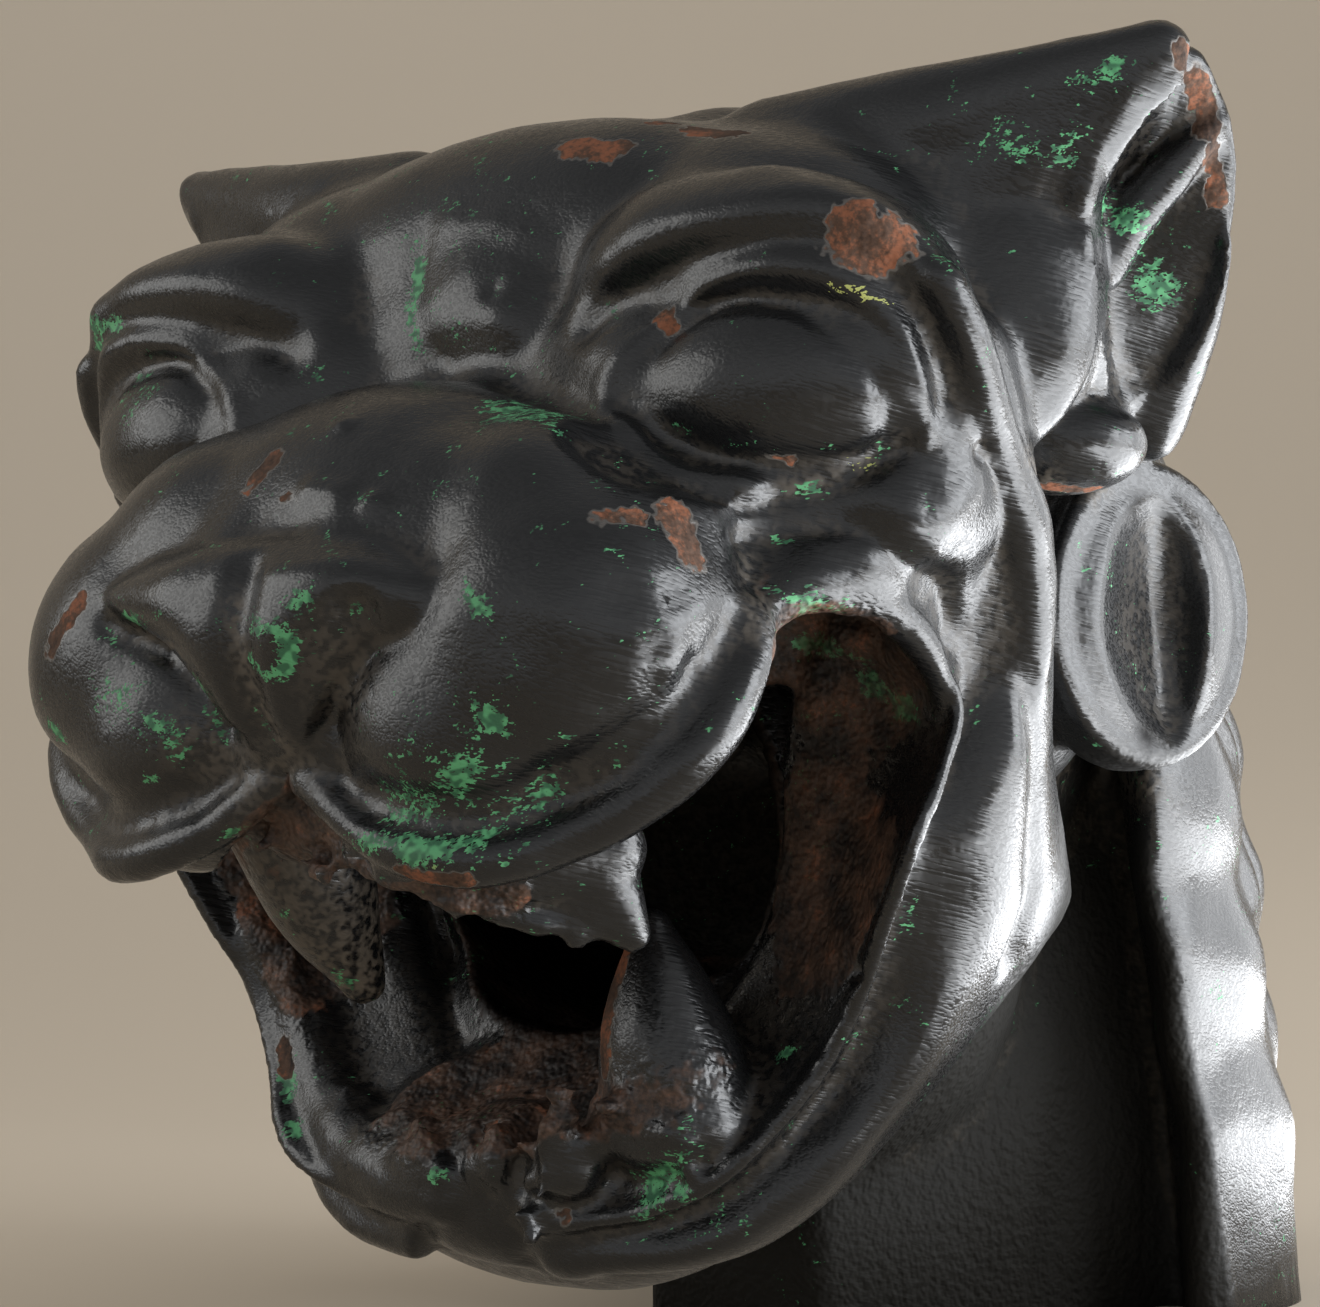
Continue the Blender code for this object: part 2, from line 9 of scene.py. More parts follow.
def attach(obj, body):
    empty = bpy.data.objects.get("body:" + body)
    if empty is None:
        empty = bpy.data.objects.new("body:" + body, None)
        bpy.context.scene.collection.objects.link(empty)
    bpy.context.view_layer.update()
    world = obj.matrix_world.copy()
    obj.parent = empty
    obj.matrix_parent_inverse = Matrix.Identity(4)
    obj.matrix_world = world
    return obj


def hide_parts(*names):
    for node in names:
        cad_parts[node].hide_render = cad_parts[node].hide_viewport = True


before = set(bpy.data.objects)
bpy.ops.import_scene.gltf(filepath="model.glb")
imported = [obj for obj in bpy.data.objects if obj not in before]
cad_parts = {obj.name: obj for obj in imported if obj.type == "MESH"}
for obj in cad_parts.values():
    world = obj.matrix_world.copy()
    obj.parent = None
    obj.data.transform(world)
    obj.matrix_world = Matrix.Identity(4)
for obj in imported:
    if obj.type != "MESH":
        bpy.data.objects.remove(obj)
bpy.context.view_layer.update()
print("frame loaded")

# Every number of the casting is in millimetres in the head's own frame.
# The row's frame has its origin in the middle of the neck's cut face.
mm = 0.001
neckCut = -172.0
neckMiddle = 129.0
toRow = np.array([0.0, -neckMiddle, -neckCut])
viewAngle = 34  # degrees from the beast's front to its left, where the camera stands


# Surfaces: each function gives points in millimetres and triangles.


# A rotation matrix from degrees about X, then Y, then Z.
def turned(angles):
    a, b, c = np.radians(angles)
    rx = np.array([[1, 0, 0], [0, np.cos(a), -np.sin(a)], [0, np.sin(a), np.cos(a)]])
    ry = np.array([[np.cos(b), 0, np.sin(b)], [0, 1, 0], [-np.sin(b), 0, np.cos(b)]])
    rz = np.array([[np.cos(c), -np.sin(c), 0], [np.sin(c), np.cos(c), 0], [0, 0, 1]])
    return rz @ ry @ rx


# Triangles of a closed tube of rows x across points, with one point at each end.
def gridFaces(rows, across):
    i, j = np.meshgrid(np.arange(rows - 1), np.arange(across), indexing="ij")
    a = i * across + j
    b = i * across + (j + 1) % across
    c, d = b + across, a + across
    body = np.concatenate([np.stack([a, b, c], -1).reshape(-1, 3), np.stack([a, c, d], -1).reshape(-1, 3)])
    first, last = rows * across, rows * across + 1
    k = np.arange(across)
    low = np.stack([np.full(across, first), (k + 1) % across, k], -1)
    top = (rows - 1) * across
    high = np.stack([np.full(across, last), top + k, top + (k + 1) % across], -1)
    return np.concatenate([body, low, high])


# Latitude v and longitude u: half * (cos v cos u, cos v sin u, sin v).
def ballSurface(middle, half, turn=(0, 0, 0), rows=30, across=48):
    v = np.linspace(-np.pi / 2, np.pi / 2, rows + 2)[1:-1, None]
    u = np.linspace(0, 2 * np.pi, across, endpoint=False)[None]
    p = np.stack([np.cos(v) * np.cos(u), np.cos(v) * np.sin(u), np.sin(v) + 0 * u], -1).reshape(-1, 3)
    p = np.concatenate([p, [[0, 0, -1], [0, 0, 1]]]) * np.array(half, float)
    return p @ turned(turn).T + np.array(middle, float), gridFaces(rows, across)


# Where a Catmull-Rom curve from b to c is after the share f of the way, with a before b and d after c.
def curveAt(a, b, c, d, f):
    return 0.5 * (2 * b + (c - a) * f + (2 * a - 5 * b + 4 * c - d) * f**2 + (3 * b - a - 3 * c + d) * f**3)


# A smooth curve through the knots, every column carried along with it.
def smoothPath(knots, steps):
    k = np.array(knots, float)
    k = np.concatenate([[2 * k[0] - k[1]], k, [2 * k[-1] - k[-2]]])
    t = np.linspace(0, len(knots) - 1, steps)
    i = np.minimum(t.astype(int), len(knots) - 2)
    return curveAt(k[i], k[i + 1], k[i + 2], k[i + 3], (t - i)[:, None])


# A circle of changing radius carried along a smooth path, its ends rounded off.
def ropeSurface(knots, across=20, wave=0.0, waveLength=40.0):
    length = np.linalg.norm(np.diff(np.array(knots, float)[:, :3], axis=0), axis=1).sum()
    path = smoothPath(knots, max(12, int(length / 2.5)))
    p, r = path[:, :3], np.maximum(path[:, 3], 0.5)
    run = np.concatenate([[0], np.cumsum(np.linalg.norm(np.diff(p, axis=0), axis=1))])
    r = r * (1 + wave * np.sin(2 * np.pi * run / waveLength))
    t = np.gradient(p, axis=0)
    t /= np.linalg.norm(t, axis=1)[:, None]
    ends = np.radians([75, 50, 25])
    startP = p[0] - t[0] * r[0] * np.sin(ends)[:, None]
    endP = p[-1] + t[-1] * r[-1] * np.sin(ends[::-1])[:, None]
    p = np.concatenate([startP, p, endP])
    t = np.concatenate([np.repeat(t[:1], 3, 0), t, np.repeat(t[-1:], 3, 0)])
    r = np.concatenate([r[0] * np.cos(ends), r, r[-1] * np.cos(ends[::-1])])
    ways = np.array([[1, 0, 0], [0, 1, 0], [0, 0, 1], [1, 1, 0], [0, 1, 1], [1, 0, 1]], float)
    ways /= np.linalg.norm(ways, axis=1)[:, None]
    away = ways[np.argmin(np.abs(t @ ways.T).max(0))]
    n = np.cross(t, away)
    n /= np.linalg.norm(n, axis=1)[:, None]
    m = np.cross(t, n)
    u = np.linspace(0, 2 * np.pi, across, endpoint=False)[None, :, None]
    ring = p[:, None] + r[:, None, None] * (np.cos(u) * n[:, None] + np.sin(u) * m[:, None])
    caps = np.array([p[0] - t[0] * r[0] * 0.27, p[-1] + t[-1] * r[-1] * 0.27])
    faces = gridFaces(len(p), across)
    return np.concatenate([ring.reshape(-1, 3), caps]), faces


# A closed skin through rails that lie side by side: a smooth curve along each, then round them all.
def railSurface(rails, rows=70, across=72):
    lines = np.array([smoothPath(rail, rows) for rail in rails])
    t = np.linspace(0, len(rails), across, endpoint=False)
    i = t.astype(int)
    a, b, c, d = (lines[(i + k) % len(rails)] for k in (-1, 0, 1, 2))
    ring = curveAt(a, b, c, d, (t - i)[:, None, None]).transpose(1, 0, 2)
    caps = np.array([ring[0].mean(0), ring[-1].mean(0)])
    return np.concatenate([ring.reshape(-1, 3), caps]), gridFaces(rows, across)


# The same surface on the beast's other side.
def otherSide(surface):
    return surface[0] * [-1, 1, 1], surface[1][:, ::-1]


# Every surface and its mirror image.
def bothSides(surfaces):
    return [s for one in surfaces for s in (one, otherSide(one))]


# An outline drawn on the ground, mirrored and raised from low to high.
def prismSurface(plan, low, high):
    right = np.array(plan, float)
    left = right[::-1][right[::-1, 0] > 0] * [-1, 1]
    ring = np.concatenate([right, left])
    n = len(ring)
    p = np.concatenate([np.c_[ring, np.full(n, low)], np.c_[ring, np.full(n, high)]])
    middle = ring.mean(0)
    p = np.concatenate([p, [[*middle, low], [*middle, high]]])
    return p, gridFaces(2, n)


# Clay: meshes are made of surfaces, pressed together into one skin, and cut.


# A mesh object made of a surface, in the scene.
def meshOf(name, surface):
    points, faces = surface
    mesh = bpy.data.meshes.new(name)
    mesh.vertices.add(len(points))
    mesh.vertices.foreach_set("co", (points * mm).ravel())
    mesh.loops.add(faces.size)
    mesh.loops.foreach_set("vertex_index", faces.ravel())
    mesh.polygons.add(len(faces))
    mesh.polygons.foreach_set("loop_start", np.arange(len(faces)) * 3)
    mesh.update(calc_edges=True)
    thing = bpy.data.objects.new(name, mesh)
    bpy.context.scene.collection.objects.link(thing)
    return thing


# Where the vertices of a thing stand.
def pointsOf(thing):
    p = np.empty(len(thing.data.vertices) * 3)
    thing.data.vertices.foreach_get("co", p)
    return p.reshape(-1, 3) / mm


def setPoints(thing, points):
    thing.data.vertices.foreach_set("co", (points * mm).ravel())
    thing.data.update()


# One mesh object made of several surfaces.
def joined(name, surfaces):
    start, points, faces = 0, [], []
    for p, f in surfaces:
        points.append(p)
        faces.append(f + start)
        start += len(p)
    return meshOf(name, (np.concatenate(points), np.concatenate(faces)))


# The thing with its modifiers worked into its mesh.
def applied(thing):
    bpy.context.view_layer.update()
    mesh = bpy.data.meshes.new_from_object(thing.evaluated_get(bpy.context.evaluated_depsgraph_get()))
    thing.modifiers.clear()
    old, thing.data = thing.data, mesh
    bpy.data.meshes.remove(old)
    return thing


# Rows of three vertex numbers, one row for each triangle of a thing.
def trianglesOf(thing):
    thing.data.calc_loop_triangles()
    f = np.empty(len(thing.data.loop_triangles) * 3, np.int32)
    thing.data.loop_triangles.foreach_get("vertices", f)
    return f.reshape(-1, 3)


# Press surfaces together into one skin of cells of one size, and smooth it.
def clay(name, surfaces, cell, smooth, onto=None):
    if onto:
        surfaces = [(pointsOf(onto), trianglesOf(onto))] + surfaces
        bpy.data.objects.remove(onto)
    lump = joined(name, surfaces)
    remesh = lump.modifiers.new("remesh", "REMESH")
    remesh.mode = "VOXEL"
    remesh.voxel_size = cell * mm
    soften = lump.modifiers.new("soften", "SMOOTH")
    soften.factor = 0.5
    soften.iterations = smooth
    return applied(lump)


# Take the cutter's space out of the lump, and the cutter out of the scene.
def cut(lump, cutter):
    change = lump.modifiers.new("cut", "BOOLEAN")
    change.operation = "DIFFERENCE"
    change.solver = "EXACT"
    change.object = cutter
    applied(lump)
    bpy.data.objects.remove(cutter)


# Balls from rows of middle, half sizes, turn and whether there is one on each side.
def shells(table):
    made = []
    for middle, half, turn, both in table:
        one = ballSurface(middle, half, turn)
        made += [one, otherSide(one)] if both else [one]
    return made


# What a user would change on the head: sizes and places in millimetres, turns in degrees.
head = {
    "body cell": 2.4,
    "carving cell": 2.0,
    "curl cell": 1.6,
    "fine cell": 1.45,
    "quick cell": 2.0,
    "curl middle": (100, 58, 9),
    "curl turn": (0, 0, -16),
    "most triangles": 190000,
}

# The masses of the head and neck. A ball is a row of middle, half sizes, turn and whether there is one on each side.
# A rope is a row of knots, and a knot is X, Y, Z and radius. A rail is a row of points.

masses = [
    [(0, 2, 62), (96, 88, 71), (0, 0, 0), False],  # skull
    [(0, -40, 80), (92, 40, 46), (14, 0, 0), False],  # forehead
    [(60, -34, 88), (46, 42, 30), (0, 12, 0), True],
    [(0, 22, -38), (84, 62, 88), (0, 0, 0), False],  # back of the jaw
    [(56, -54, 38), (58, 46, 52), (0, 0, 0), True],  # face round the eyes
    [(84, -34, 22), (29, 42, 34), (0, 0, 0), True],  # cheek
    [(0, -100, 10), (68, 46, 46), (20, 0, 0), False],  # muzzle
    [(34, -108, 11), (43, 37, 37), (12, 8, 0), True],
    [(52, -110, -6), (41, 40, 39), (0, 0, 8), True],  # whisker pad
    [(60, -96, 12), (31, 34, 30), (0, 20, 0), True],
    [(38, -124, -22), (31, 27, 32), (0, 0, 0), True],
    [(0, -40, -124), (54, 36, 28), (-20, 0, 0), False],  # chin
    [(0, 0, -98), (68, 46, 38), (0, 0, 0), False],
    [(0, 84, 4), (74, 82, 92), (0, 0, 0), False],  # nape
    [(0, 56, -70), (66, 60, 70), (0, 0, 0), False],
    [(58, 48, 14), (40, 44, 56), (0, 0, 0), True],  # behind the ear
    [(106, -21, 74), (24, 14, 34), (0, 0, 25), True],  # ear lobe
    [(106, -50, 27), (13, 22, 18), (0, 0, 0), True],
]
massRopes = [
    [(12, -84, 44, 16), (15, -112, 31, 17), (15, -132, 14, 16), (10, -142, 0, 12)],  # bridge of the nose
    [(16, -60, 70, 10), (36, -68, 76, 13), (58, -76, 82, 18), (90, -76, 80, 18), (108, -68, 69, 16),
     (108, -60, 46, 14)],  # brow
    [(108, -60, 46, 13), (105, -62, 26, 14), (96, -72, 14, 14), (82, -86, 14, 12)],  # cheekbone
    [(108, -44, 62, 12), (108, -28, 30, 12), (106, -18, 6, 10)],  # edge of the face
    [(80, -8, 96, 34), (108, -10, 110, 24), (128, -10, 119, 15), (143, -12, 130, 8)],  # ear
    [(52, -30, 112, 16), (84, -28, 115, 15), (110, -22, 121, 12), (134, -16, 128, 8), (145, -14, 131, 6)],
    [(143, -9, 129, 8), (146, 4, 106, 8), (134, 24, 78, 8), (114, 42, 52, 9)],
    [(106, 2, 98, 26), (118, 8, 82, 18), (104, 20, 62, 16)],
    [(86, 8, 56, 20), (104, 4, 50, 12), (112, 10, 46, 8)],
]
neckPlan = [(26, 34), (52, 84), (74, 136), (78, 168), (60, 196), (0, 206)]
maneRolls = [
    [(24, -16, 120, 12), (34, 34, 118, 17), (46, 84, 92, 20), (56, 124, 48, 22), (60, 156, -10, 22),
     (60, 180, -80, 22), (56, 196, -190, 20)],
    [(0, 0, 124, 12), (0, 50, 112, 20), (2, 98, 88, 24), (4, 142, 40, 24), (4, 178, -20, 22),
     (4, 200, -90, 20), (4, 206, -190, 19)],
    [(70, 20, 96, 20), (74, 54, 74, 20), (74, 88, 44, 20), (74, 116, 6, 20), (74, 142, -50, 20),
     (74, 168, -120, 18)],
]
mouthBowl = [
    [(0, -78, -48), (94, 44, 68), (0, 0, 0), False],
    [(78, -72, -14), (31, 37, 30), (0, 0, 0), True],
    [(64, -70, -46), (37, 36, 48), (0, 0, 0), True],
    [(0, -104, -46), (46, 32, 26), (0, 0, 0), False],
]

# The side of the jaw: rails from the wall of the mouth over the lip's rim and the jowl to inside the head.
jawRails = [
    [(104, -60, -1), (109, -46, -15), (109, -51, -29), (107, -61, -46), (97, -58, -66), (87, -53, -83),
     (77, -57, -101), (62, -68, -120), (42, -70, -129), (18, -75, -133)],  # rim
    [(107, -42, 8), (103, -33, -12), (99, -38, -30), (96, -44, -48), (89, -43, -66), (82, -40, -84),
     (73, -44, -103), (60, -56, -121), (42, -63, -131), (18, -73, -136)],  # hollow
    [(119, -30, 20), (117, -22, -4), (114, -23, -26), (111, -24, -44), (106, -22, -63), (100, -28, -80),
     (90, -36, -101), (73, -50, -125), (52, -62, -138), (22, -71, -142)],  # jowl
    [(110, 0, 11), (106, 5, -12), (102, 15, -30), (99, 28, -49), (96, 34, -63), (90, 15, -82),
     (79, -17, -111), (62, -35, -133), (45, -52, -142), (22, -64, -144)],  # corner of the jaw
    [(92, 20, 10), (88, 26, -10), (84, 34, -30), (82, 40, -48), (78, 38, -64), (70, 18, -82),
     (60, -8, -104), (46, -24, -120), (32, -38, -128), (14, -48, -130)],
    [(80, 0, 8), (74, 10, -8), (66, 12, -26), (62, 12, -44), (60, 10, -60), (56, 4, -76),
     (48, -8, -92), (38, -20, -102), (26, -36, -110), (12, -44, -114)],
    [(74, -40, 4), (62, -36, -10), (57, -33, -26), (56, -32, -44), (53, -32, -62), (47, -34, -76),
     (38, -38, -88), (28, -44, -98), (20, -52, -106), (10, -60, -112)],  # edge of the throat
    [(90, -46, 0), (88, -38, -14), (85, -38, -28), (82, -40, -45), (76, -42, -61), (67, -43, -77),
     (57, -47, -92), (46, -55, -106), (33, -64, -116), (14, -71, -121)],  # wall of the mouth
]
# The band of mane down the side of the neck.
bandRails = [
    [(92, 80, -16), (94, 82, -40), (92, 86, -58), (95, 92, -78), (93, 98, -100), (96, 105, -122), (95, 108, -146),
     (96, 110, -192)],
    [(100, 98, -14), (102, 106, -40), (99, 112, -58), (102, 118, -78), (99, 126, -100), (102, 134, -122),
     (101, 140, -146), (102, 144, -192)],
    [(98, 114, -14), (100, 130, -40), (96, 134, -58), (101, 141, -78), (97, 150, -100), (101, 159, -122),
     (98, 164, -146), (100, 170, -192)],
    [(84, 124, -14), (84, 136, -40), (84, 144, -58), (84, 152, -78), (84, 160, -100), (84, 168, -122),
     (84, 174, -146), (84, 180, -192)],
    [(76, 98, -14), (76, 108, -40), (76, 114, -58), (76, 120, -78), (76, 128, -100), (76, 136, -122),
     (76, 142, -146), (76, 148, -192)],
]

# The ear: rails from its front margin through the cup to the rear rim and round the back.
earRails = [
    [(146, -14, 133), (138, -17, 119), (130, -18, 106), (127, -16, 92), (126, -12, 78), (121, -5, 62), (112, -6, 50)],
    [(145, -6, 130), (136, 1, 118), (126, 6, 104), (121, 8, 88), (117, 11, 72), (113, 17, 60), (110, 20, 50)],
    [(148, 0, 131), (149, 12, 117), (147, 17, 103), (141, 23, 86), (134, 28, 73), (125, 38, 58), (116, 46, 48)],
    [(145, 2, 134), (143, 17, 118), (138, 24, 103), (130, 32, 86), (122, 38, 72), (112, 48, 58), (104, 54, 48)],
    [(136, -4, 134), (124, 8, 120), (112, 12, 105), (104, 16, 88), (98, 20, 72), (92, 26, 58), (88, 28, 48)],
    [(140, -14, 134), (124, -20, 121), (112, -22, 106), (106, -20, 92), (102, -16, 78), (98, -12, 62), (92, -10, 50)],
]

noseRails = [
    [(22, -134, 20), (38, -138, 14), (46, -139, 6), (29, -142, -4), (18, -144, -14), (10, -144, -24), (4, -140, -31)],
    [(12, -141, 20), (21, -152, 14), (26, -156, 6), (16, -158, -4), (10, -155, -14), (6, -150, -24), (2, -142, -31)],
    [(0, -142, 20), (0, -153, 14), (0, -158, 6), (0, -159, -4), (0, -156, -14), (0, -150, -24), (0, -142, -31)],
    [(-12, -141, 20), (-21, -152, 14), (-26, -157, 6), (-16, -158, -4), (-10, -155, -14), (-6, -150, -24),
     (-2, -142, -31)],
    [(-22, -134, 20), (-38, -140, 14), (-48, -144, 6), (-29, -144, -4), (-18, -144, -14), (-10, -144, -24),
     (-4, -140, -31)],
    [(0, -120, 18), (0, -120, 12), (0, -120, 4), (0, -120, -4), (0, -120, -14), (0, -122, -24), (0, -126, -29)],
]

surfaces = shells(masses) + bothSides([ropeSurface(k, 24) for k in massRopes])
surfaces += bothSides([ropeSurface(k, 24, 0.10) for k in maneRolls])
surfaces.append(prismSurface(neckPlan, neckCut - 14, -30))
surfaces += bothSides([railSurface(bandRails)])
casting = clay("casting", surfaces, head["body cell"], 16)
cut(casting, clay("mouth", shells(mouthBowl), head["body cell"], 8))
cut(casting, meshOf("throat", ropeSurface([(0, -30, -43, 50), (0, 0, -40, 50), (0, 12, -38, 44)], 48)))
print("masses pressed together")

# The hollows and features, pressed on with a finer cell.

carvedBalls = [
    [(0, -147, -54), (13, 12, 20), (0, 0, 0), False],  # cleft of the lip
    [(88, -112, 52), (38, 25, 29), (0, -4, 26), True],  # eye socket
]
carvedRopes = [
    [(149, -5, 127, 6), (145, -2, 117, 12), (141, 0, 104, 16), (137, 4, 90, 17), (133, 9, 75, 15),
     (126, 17, 61, 10)],  # ear cup
]
# The slit in the curl, from the curl's own middle.
curlHollow = [
    [(14, -15, 33), (18, -26, 19), (18, -31, -1), (18, -26, -21), (14, -12, -33)],
    [(12, -2, 33), (5, 4, 19), (2, 7, -1), (4, 8, -23), (11, 6, -35)],
    [(14, 0, 33), (20, 10, 19), (20, 13, -1), (20, 12, -23), (14, 8, -35)],
    [(18, -6, 33), (26, -8, 19), (28, -10, -1), (26, -6, -23), (18, 0, -35)],
]
featureBalls = [
    [(87, -77, 51), (33, 21, 22), (0, -4, 26), True],  # eyeball
    [(0, -124, -38), (26, 12, 14), (0, 0, 0), False],  # gum
    [(9, -134, -26), (10, 10, 11), (0, 0, 0), True],  # under the nose
    [(44, -62, -110), (20, 15, 12), (0, 0, 0), False],  # root of the lower fang
    [(2, -61, -126), (32, 17, 19), (0, 0, 0), False],  # front of the chin
    [(25, -74, -119), (9, 8, 8), (0, 0, 0), False],
    [(6, -77, -120), (7, 5, 7), (0, 0, 0), False],
    [(-14, -75, -121), (9, 6, 7), (0, 0, 0), False],
    [(20, -64, -140), (10, 8, 6), (0, 0, 0), False],
    [(107, 8, 46), (21, 17, 12), (0, 0, 30), True],  # under the ear
]
featureRopes = [
    [(120, -75, 70, 5), (122, -67, 60, 6), (121, -58, 50, 6), (118, -44, 38, 6), (117, -31, 22, 7),
     (114, -22, 4, 7), (110, -19, -14, 6)],  # edge of the face
    [(86, -100, -2, 6), (92, -92, 6, 6), (99, -80, 8, 6), (104, -64, 2, 5), (106, -52, -7, 4),
     (105, -43, -17, 3)],  # lip over the corner of the mouth
    [(5, -140, -34, 4), (18, -141, -42, 5), (34, -142, -48, 6), (50, -138, -50, 6), (65, -128, -45, 6),
     (79, -122, -37, 6), (88, -115, -26, 7), (90, -107, -12, 8), (88, -100, 0, 8)],  # upper lip
    [(140, -16, 128, 4), (138, -18, 122, 4), (134, -17, 115, 4), (129, -18, 108, 4), (126, -18, 98, 4)],
    [(147, 10, 117, 3), (138, 6, 107, 5), (128, 1, 94, 6), (123, -2, 84, 6)],  # ridge in the ear
]
nearRopes = [
    [(-2, -130, -36, 6), (12, -130, -44, 7), (32, -131, -50, 7), (50, -121, -52, 7), (60, -108, -48, 8)],  # near gum
    [(44, -112, -40, 16), (50, -112, -47, 15), (58, -108, -56, 9), (64, -105, -66, 4)],  # near upper fang
    [(-46, -110, -12, 15), (-46, -90, -34, 17), (-44, -78, -58, 14), (-41, -66, -80, 6)],  # far upper fang
    [(45, -58, -106, 18), (43, -61, -92, 16), (42, -63, -77, 10.5), (41, -64, -66, 5)],  # lower fang
    [(-88, -50, -70, 6), (-80, -46, -84, 8), (-70, -48, -98, 10), (-58, -54, -112, 10), (-42, -62, -121, 10),
     (-24, -70, -126, 9), (-8, -74, -128, 7)],  # far lower lip
    [(8, -150, 5, 9), (20, -150, 5, 9), (32, -145, 5, 9), (42, -137, 4, 8)],  # wing of the nose
    [(34, -122, -48, 7), (45, -119, -53, 7), (54, -113, -58, 6), (63, -106, -65, 4)],  # edge of the near upper fang
]

fineCell = head["fine cell"]
curlMiddle = np.array(head["curl middle"], float)
curlTurn = turned(head["curl turn"]).T
v = np.linspace(0, 2 * np.pi, 17)
curlRim = np.stack([7 + 0 * v, 34 * np.cos(v), 35 * np.sin(v)], -1) @ curlTurn + curlMiddle
curlRope = ropeSurface(np.c_[curlRim, np.full(17, 3.5)])
curl = clay("curl", [ballSurface(curlMiddle, (16, 37, 39), head["curl turn"]), curlRope], head["curl cell"], 2)
slit = [np.array(rail) @ curlTurn + curlMiddle for rail in curlHollow]
cut(curl, clay("slit", [railSurface(slit, 30, 40)], head["curl cell"], 2))
curl = [(pointsOf(curl), trianglesOf(curl))]
bpy.data.objects.remove(bpy.data.objects["curl"])
carving = shells(carvedBalls) + bothSides([ropeSurface(k) for k in carvedRopes])
cut(casting, clay("carving", carving, head["carving cell"], 3))
surfaces = shells(featureBalls) + bothSides([ropeSurface(k) for k in featureRopes])
surfaces.append(railSurface(noseRails))
chance = np.random.default_rng(4)


# Small balls of chance sizes dropped along a line.
def lumps(line, count, low, high, scatter):
    for q in smoothPath(line, count):
        size = low + (high - low) * chance.random() ** 1.5
        middle = q + scatter * (chance.random(3) - 0.5)
        surfaces.append(ballSurface(middle, size * (0.8 + 0.5 * chance.random(3)), rows=8, across=12))


nearGum = [(18, -137, -51), (32, -137, -56), (42, -130, -60), (50, -122, -64), (57, -114, -66)]
lumps(nearGum, 34, 1.0, 2.6, 3)
lumps([(-14, -134, -48), (0, -134, -52), (14, -136, -51)], 10, 1.0, 2.4, 4)  # front gum
lumps([(-80, -50, -76), (-66, -52, -96), (-50, -58, -108), (-34, -66, -116)], 26, 1.4, 3.6, 7)  # far lower lip
lumps([(-30, -68, -116), (-14, -74, -116), (4, -76, -114), (22, -76, -112), (36, -76, -108)], 30, 1.2, 3.2, 9)
lumps([(30, -80, -96), (28, -80, -108), (24, -82, -120), (18, -80, -134)], 16, 1.2, 3.0, 6)
lumps([(48, -76, -102), (58, -72, -112), (50, -72, -122)], 10, 1.6, 3.6, 8)
earEdge = [(141, -16, 128), (135, -18, 117), (130, -19, 106), (127, -18, 93), (126, -15, 79), (121, -8, 63)]
lumps(earEdge, 34, 1.0, 2.2, 3)
rimCrest = ropeSurface([knot + (2.2,) for knot in jawRails[0]])
surfaces += bothSides([railSurface(jawRails), rimCrest, railSurface(earRails)] + curl)
surfaces += [ropeSurface(k, 28) for k in nearRopes]
casting = clay("casting", surfaces, fineCell, 2, casting)
nostril = [(30, -158, -2, 8), (28, -160, -10, 11), (22, -159, -19, 9), (15, -155, -27, 6), (9, -149, -33, 4)]
cut(casting, clay("nostril", [ropeSurface(nostril)], head["curl cell"], 1))
casting = clay("casting", [], fineCell, 3, casting)
print("features added", len(casting.data.polygons))


# The modelling strokes.


def normalsOf(thing):
    n = np.empty(len(thing.data.vertices) * 3)
    thing.data.vertices.foreach_get("normal", n)
    return n.reshape(-1, 3)


# Distance from every point to a line of straight steps.
def distanceTo(points, line):
    best = np.full(len(points), 1e9)
    for a, b in zip(line[:-1], line[1:]):
        t = np.clip((points - a) @ (b - a) / ((b - a) @ (b - a)), 0, 1)
        best = np.minimum(best, np.linalg.norm(points - a - t[:, None] * (b - a), axis=1))
    return best


# Random heights at the corners of a lattice, blended smoothly between them.
def valueNoise(points, size, seed):
    heights = np.random.default_rng(seed).random((32, 32, 32)) * 2 - 1
    q = points / size + 500
    i = np.floor(q).astype(int)
    f = q - i
    f = f * f * (3 - 2 * f)
    total = np.zeros(len(points))
    for x in (0, 1):
        for y in (0, 1):
            for z in (0, 1):
                w = np.abs(1 - x - f[:, 0]) * np.abs(1 - y - f[:, 1]) * np.abs(1 - z - f[:, 2])
                total += w * heights[(i[:, 0] + x) % 32, (i[:, 1] + y) % 32, (i[:, 2] + z) % 32]
    return total


# Push the skin beside each stroke by height * exp(-(distance / width) ** 2).
# A row of the table is width, height, whether there is one on each side, and knots.
def stroke(thing, table):
    points, normals = pointsOf(thing), normalsOf(thing)
    lift = np.zeros(len(points))
    for width, height, both, knots in table:
        line = smoothPath(knots, 5 * len(knots)) if len(knots) > 1 else np.array(knots * 2, float) + [[0], [0.1]]
        line = np.array([thing.closest_point_on_mesh(Vector(q * mm))[1] for q in line]) / mm
        for side in (1, -1) if both else (1,):
            run = line * [side, 1, 1]
            near = np.all((points > run.min(0) - 3 * width) & (points < run.max(0) + 3 * width), axis=1)
            lift[near] += height * np.exp(-((distanceTo(points[near], run) / width) ** 2))
    setPoints(thing, points + normals * lift[:, None])


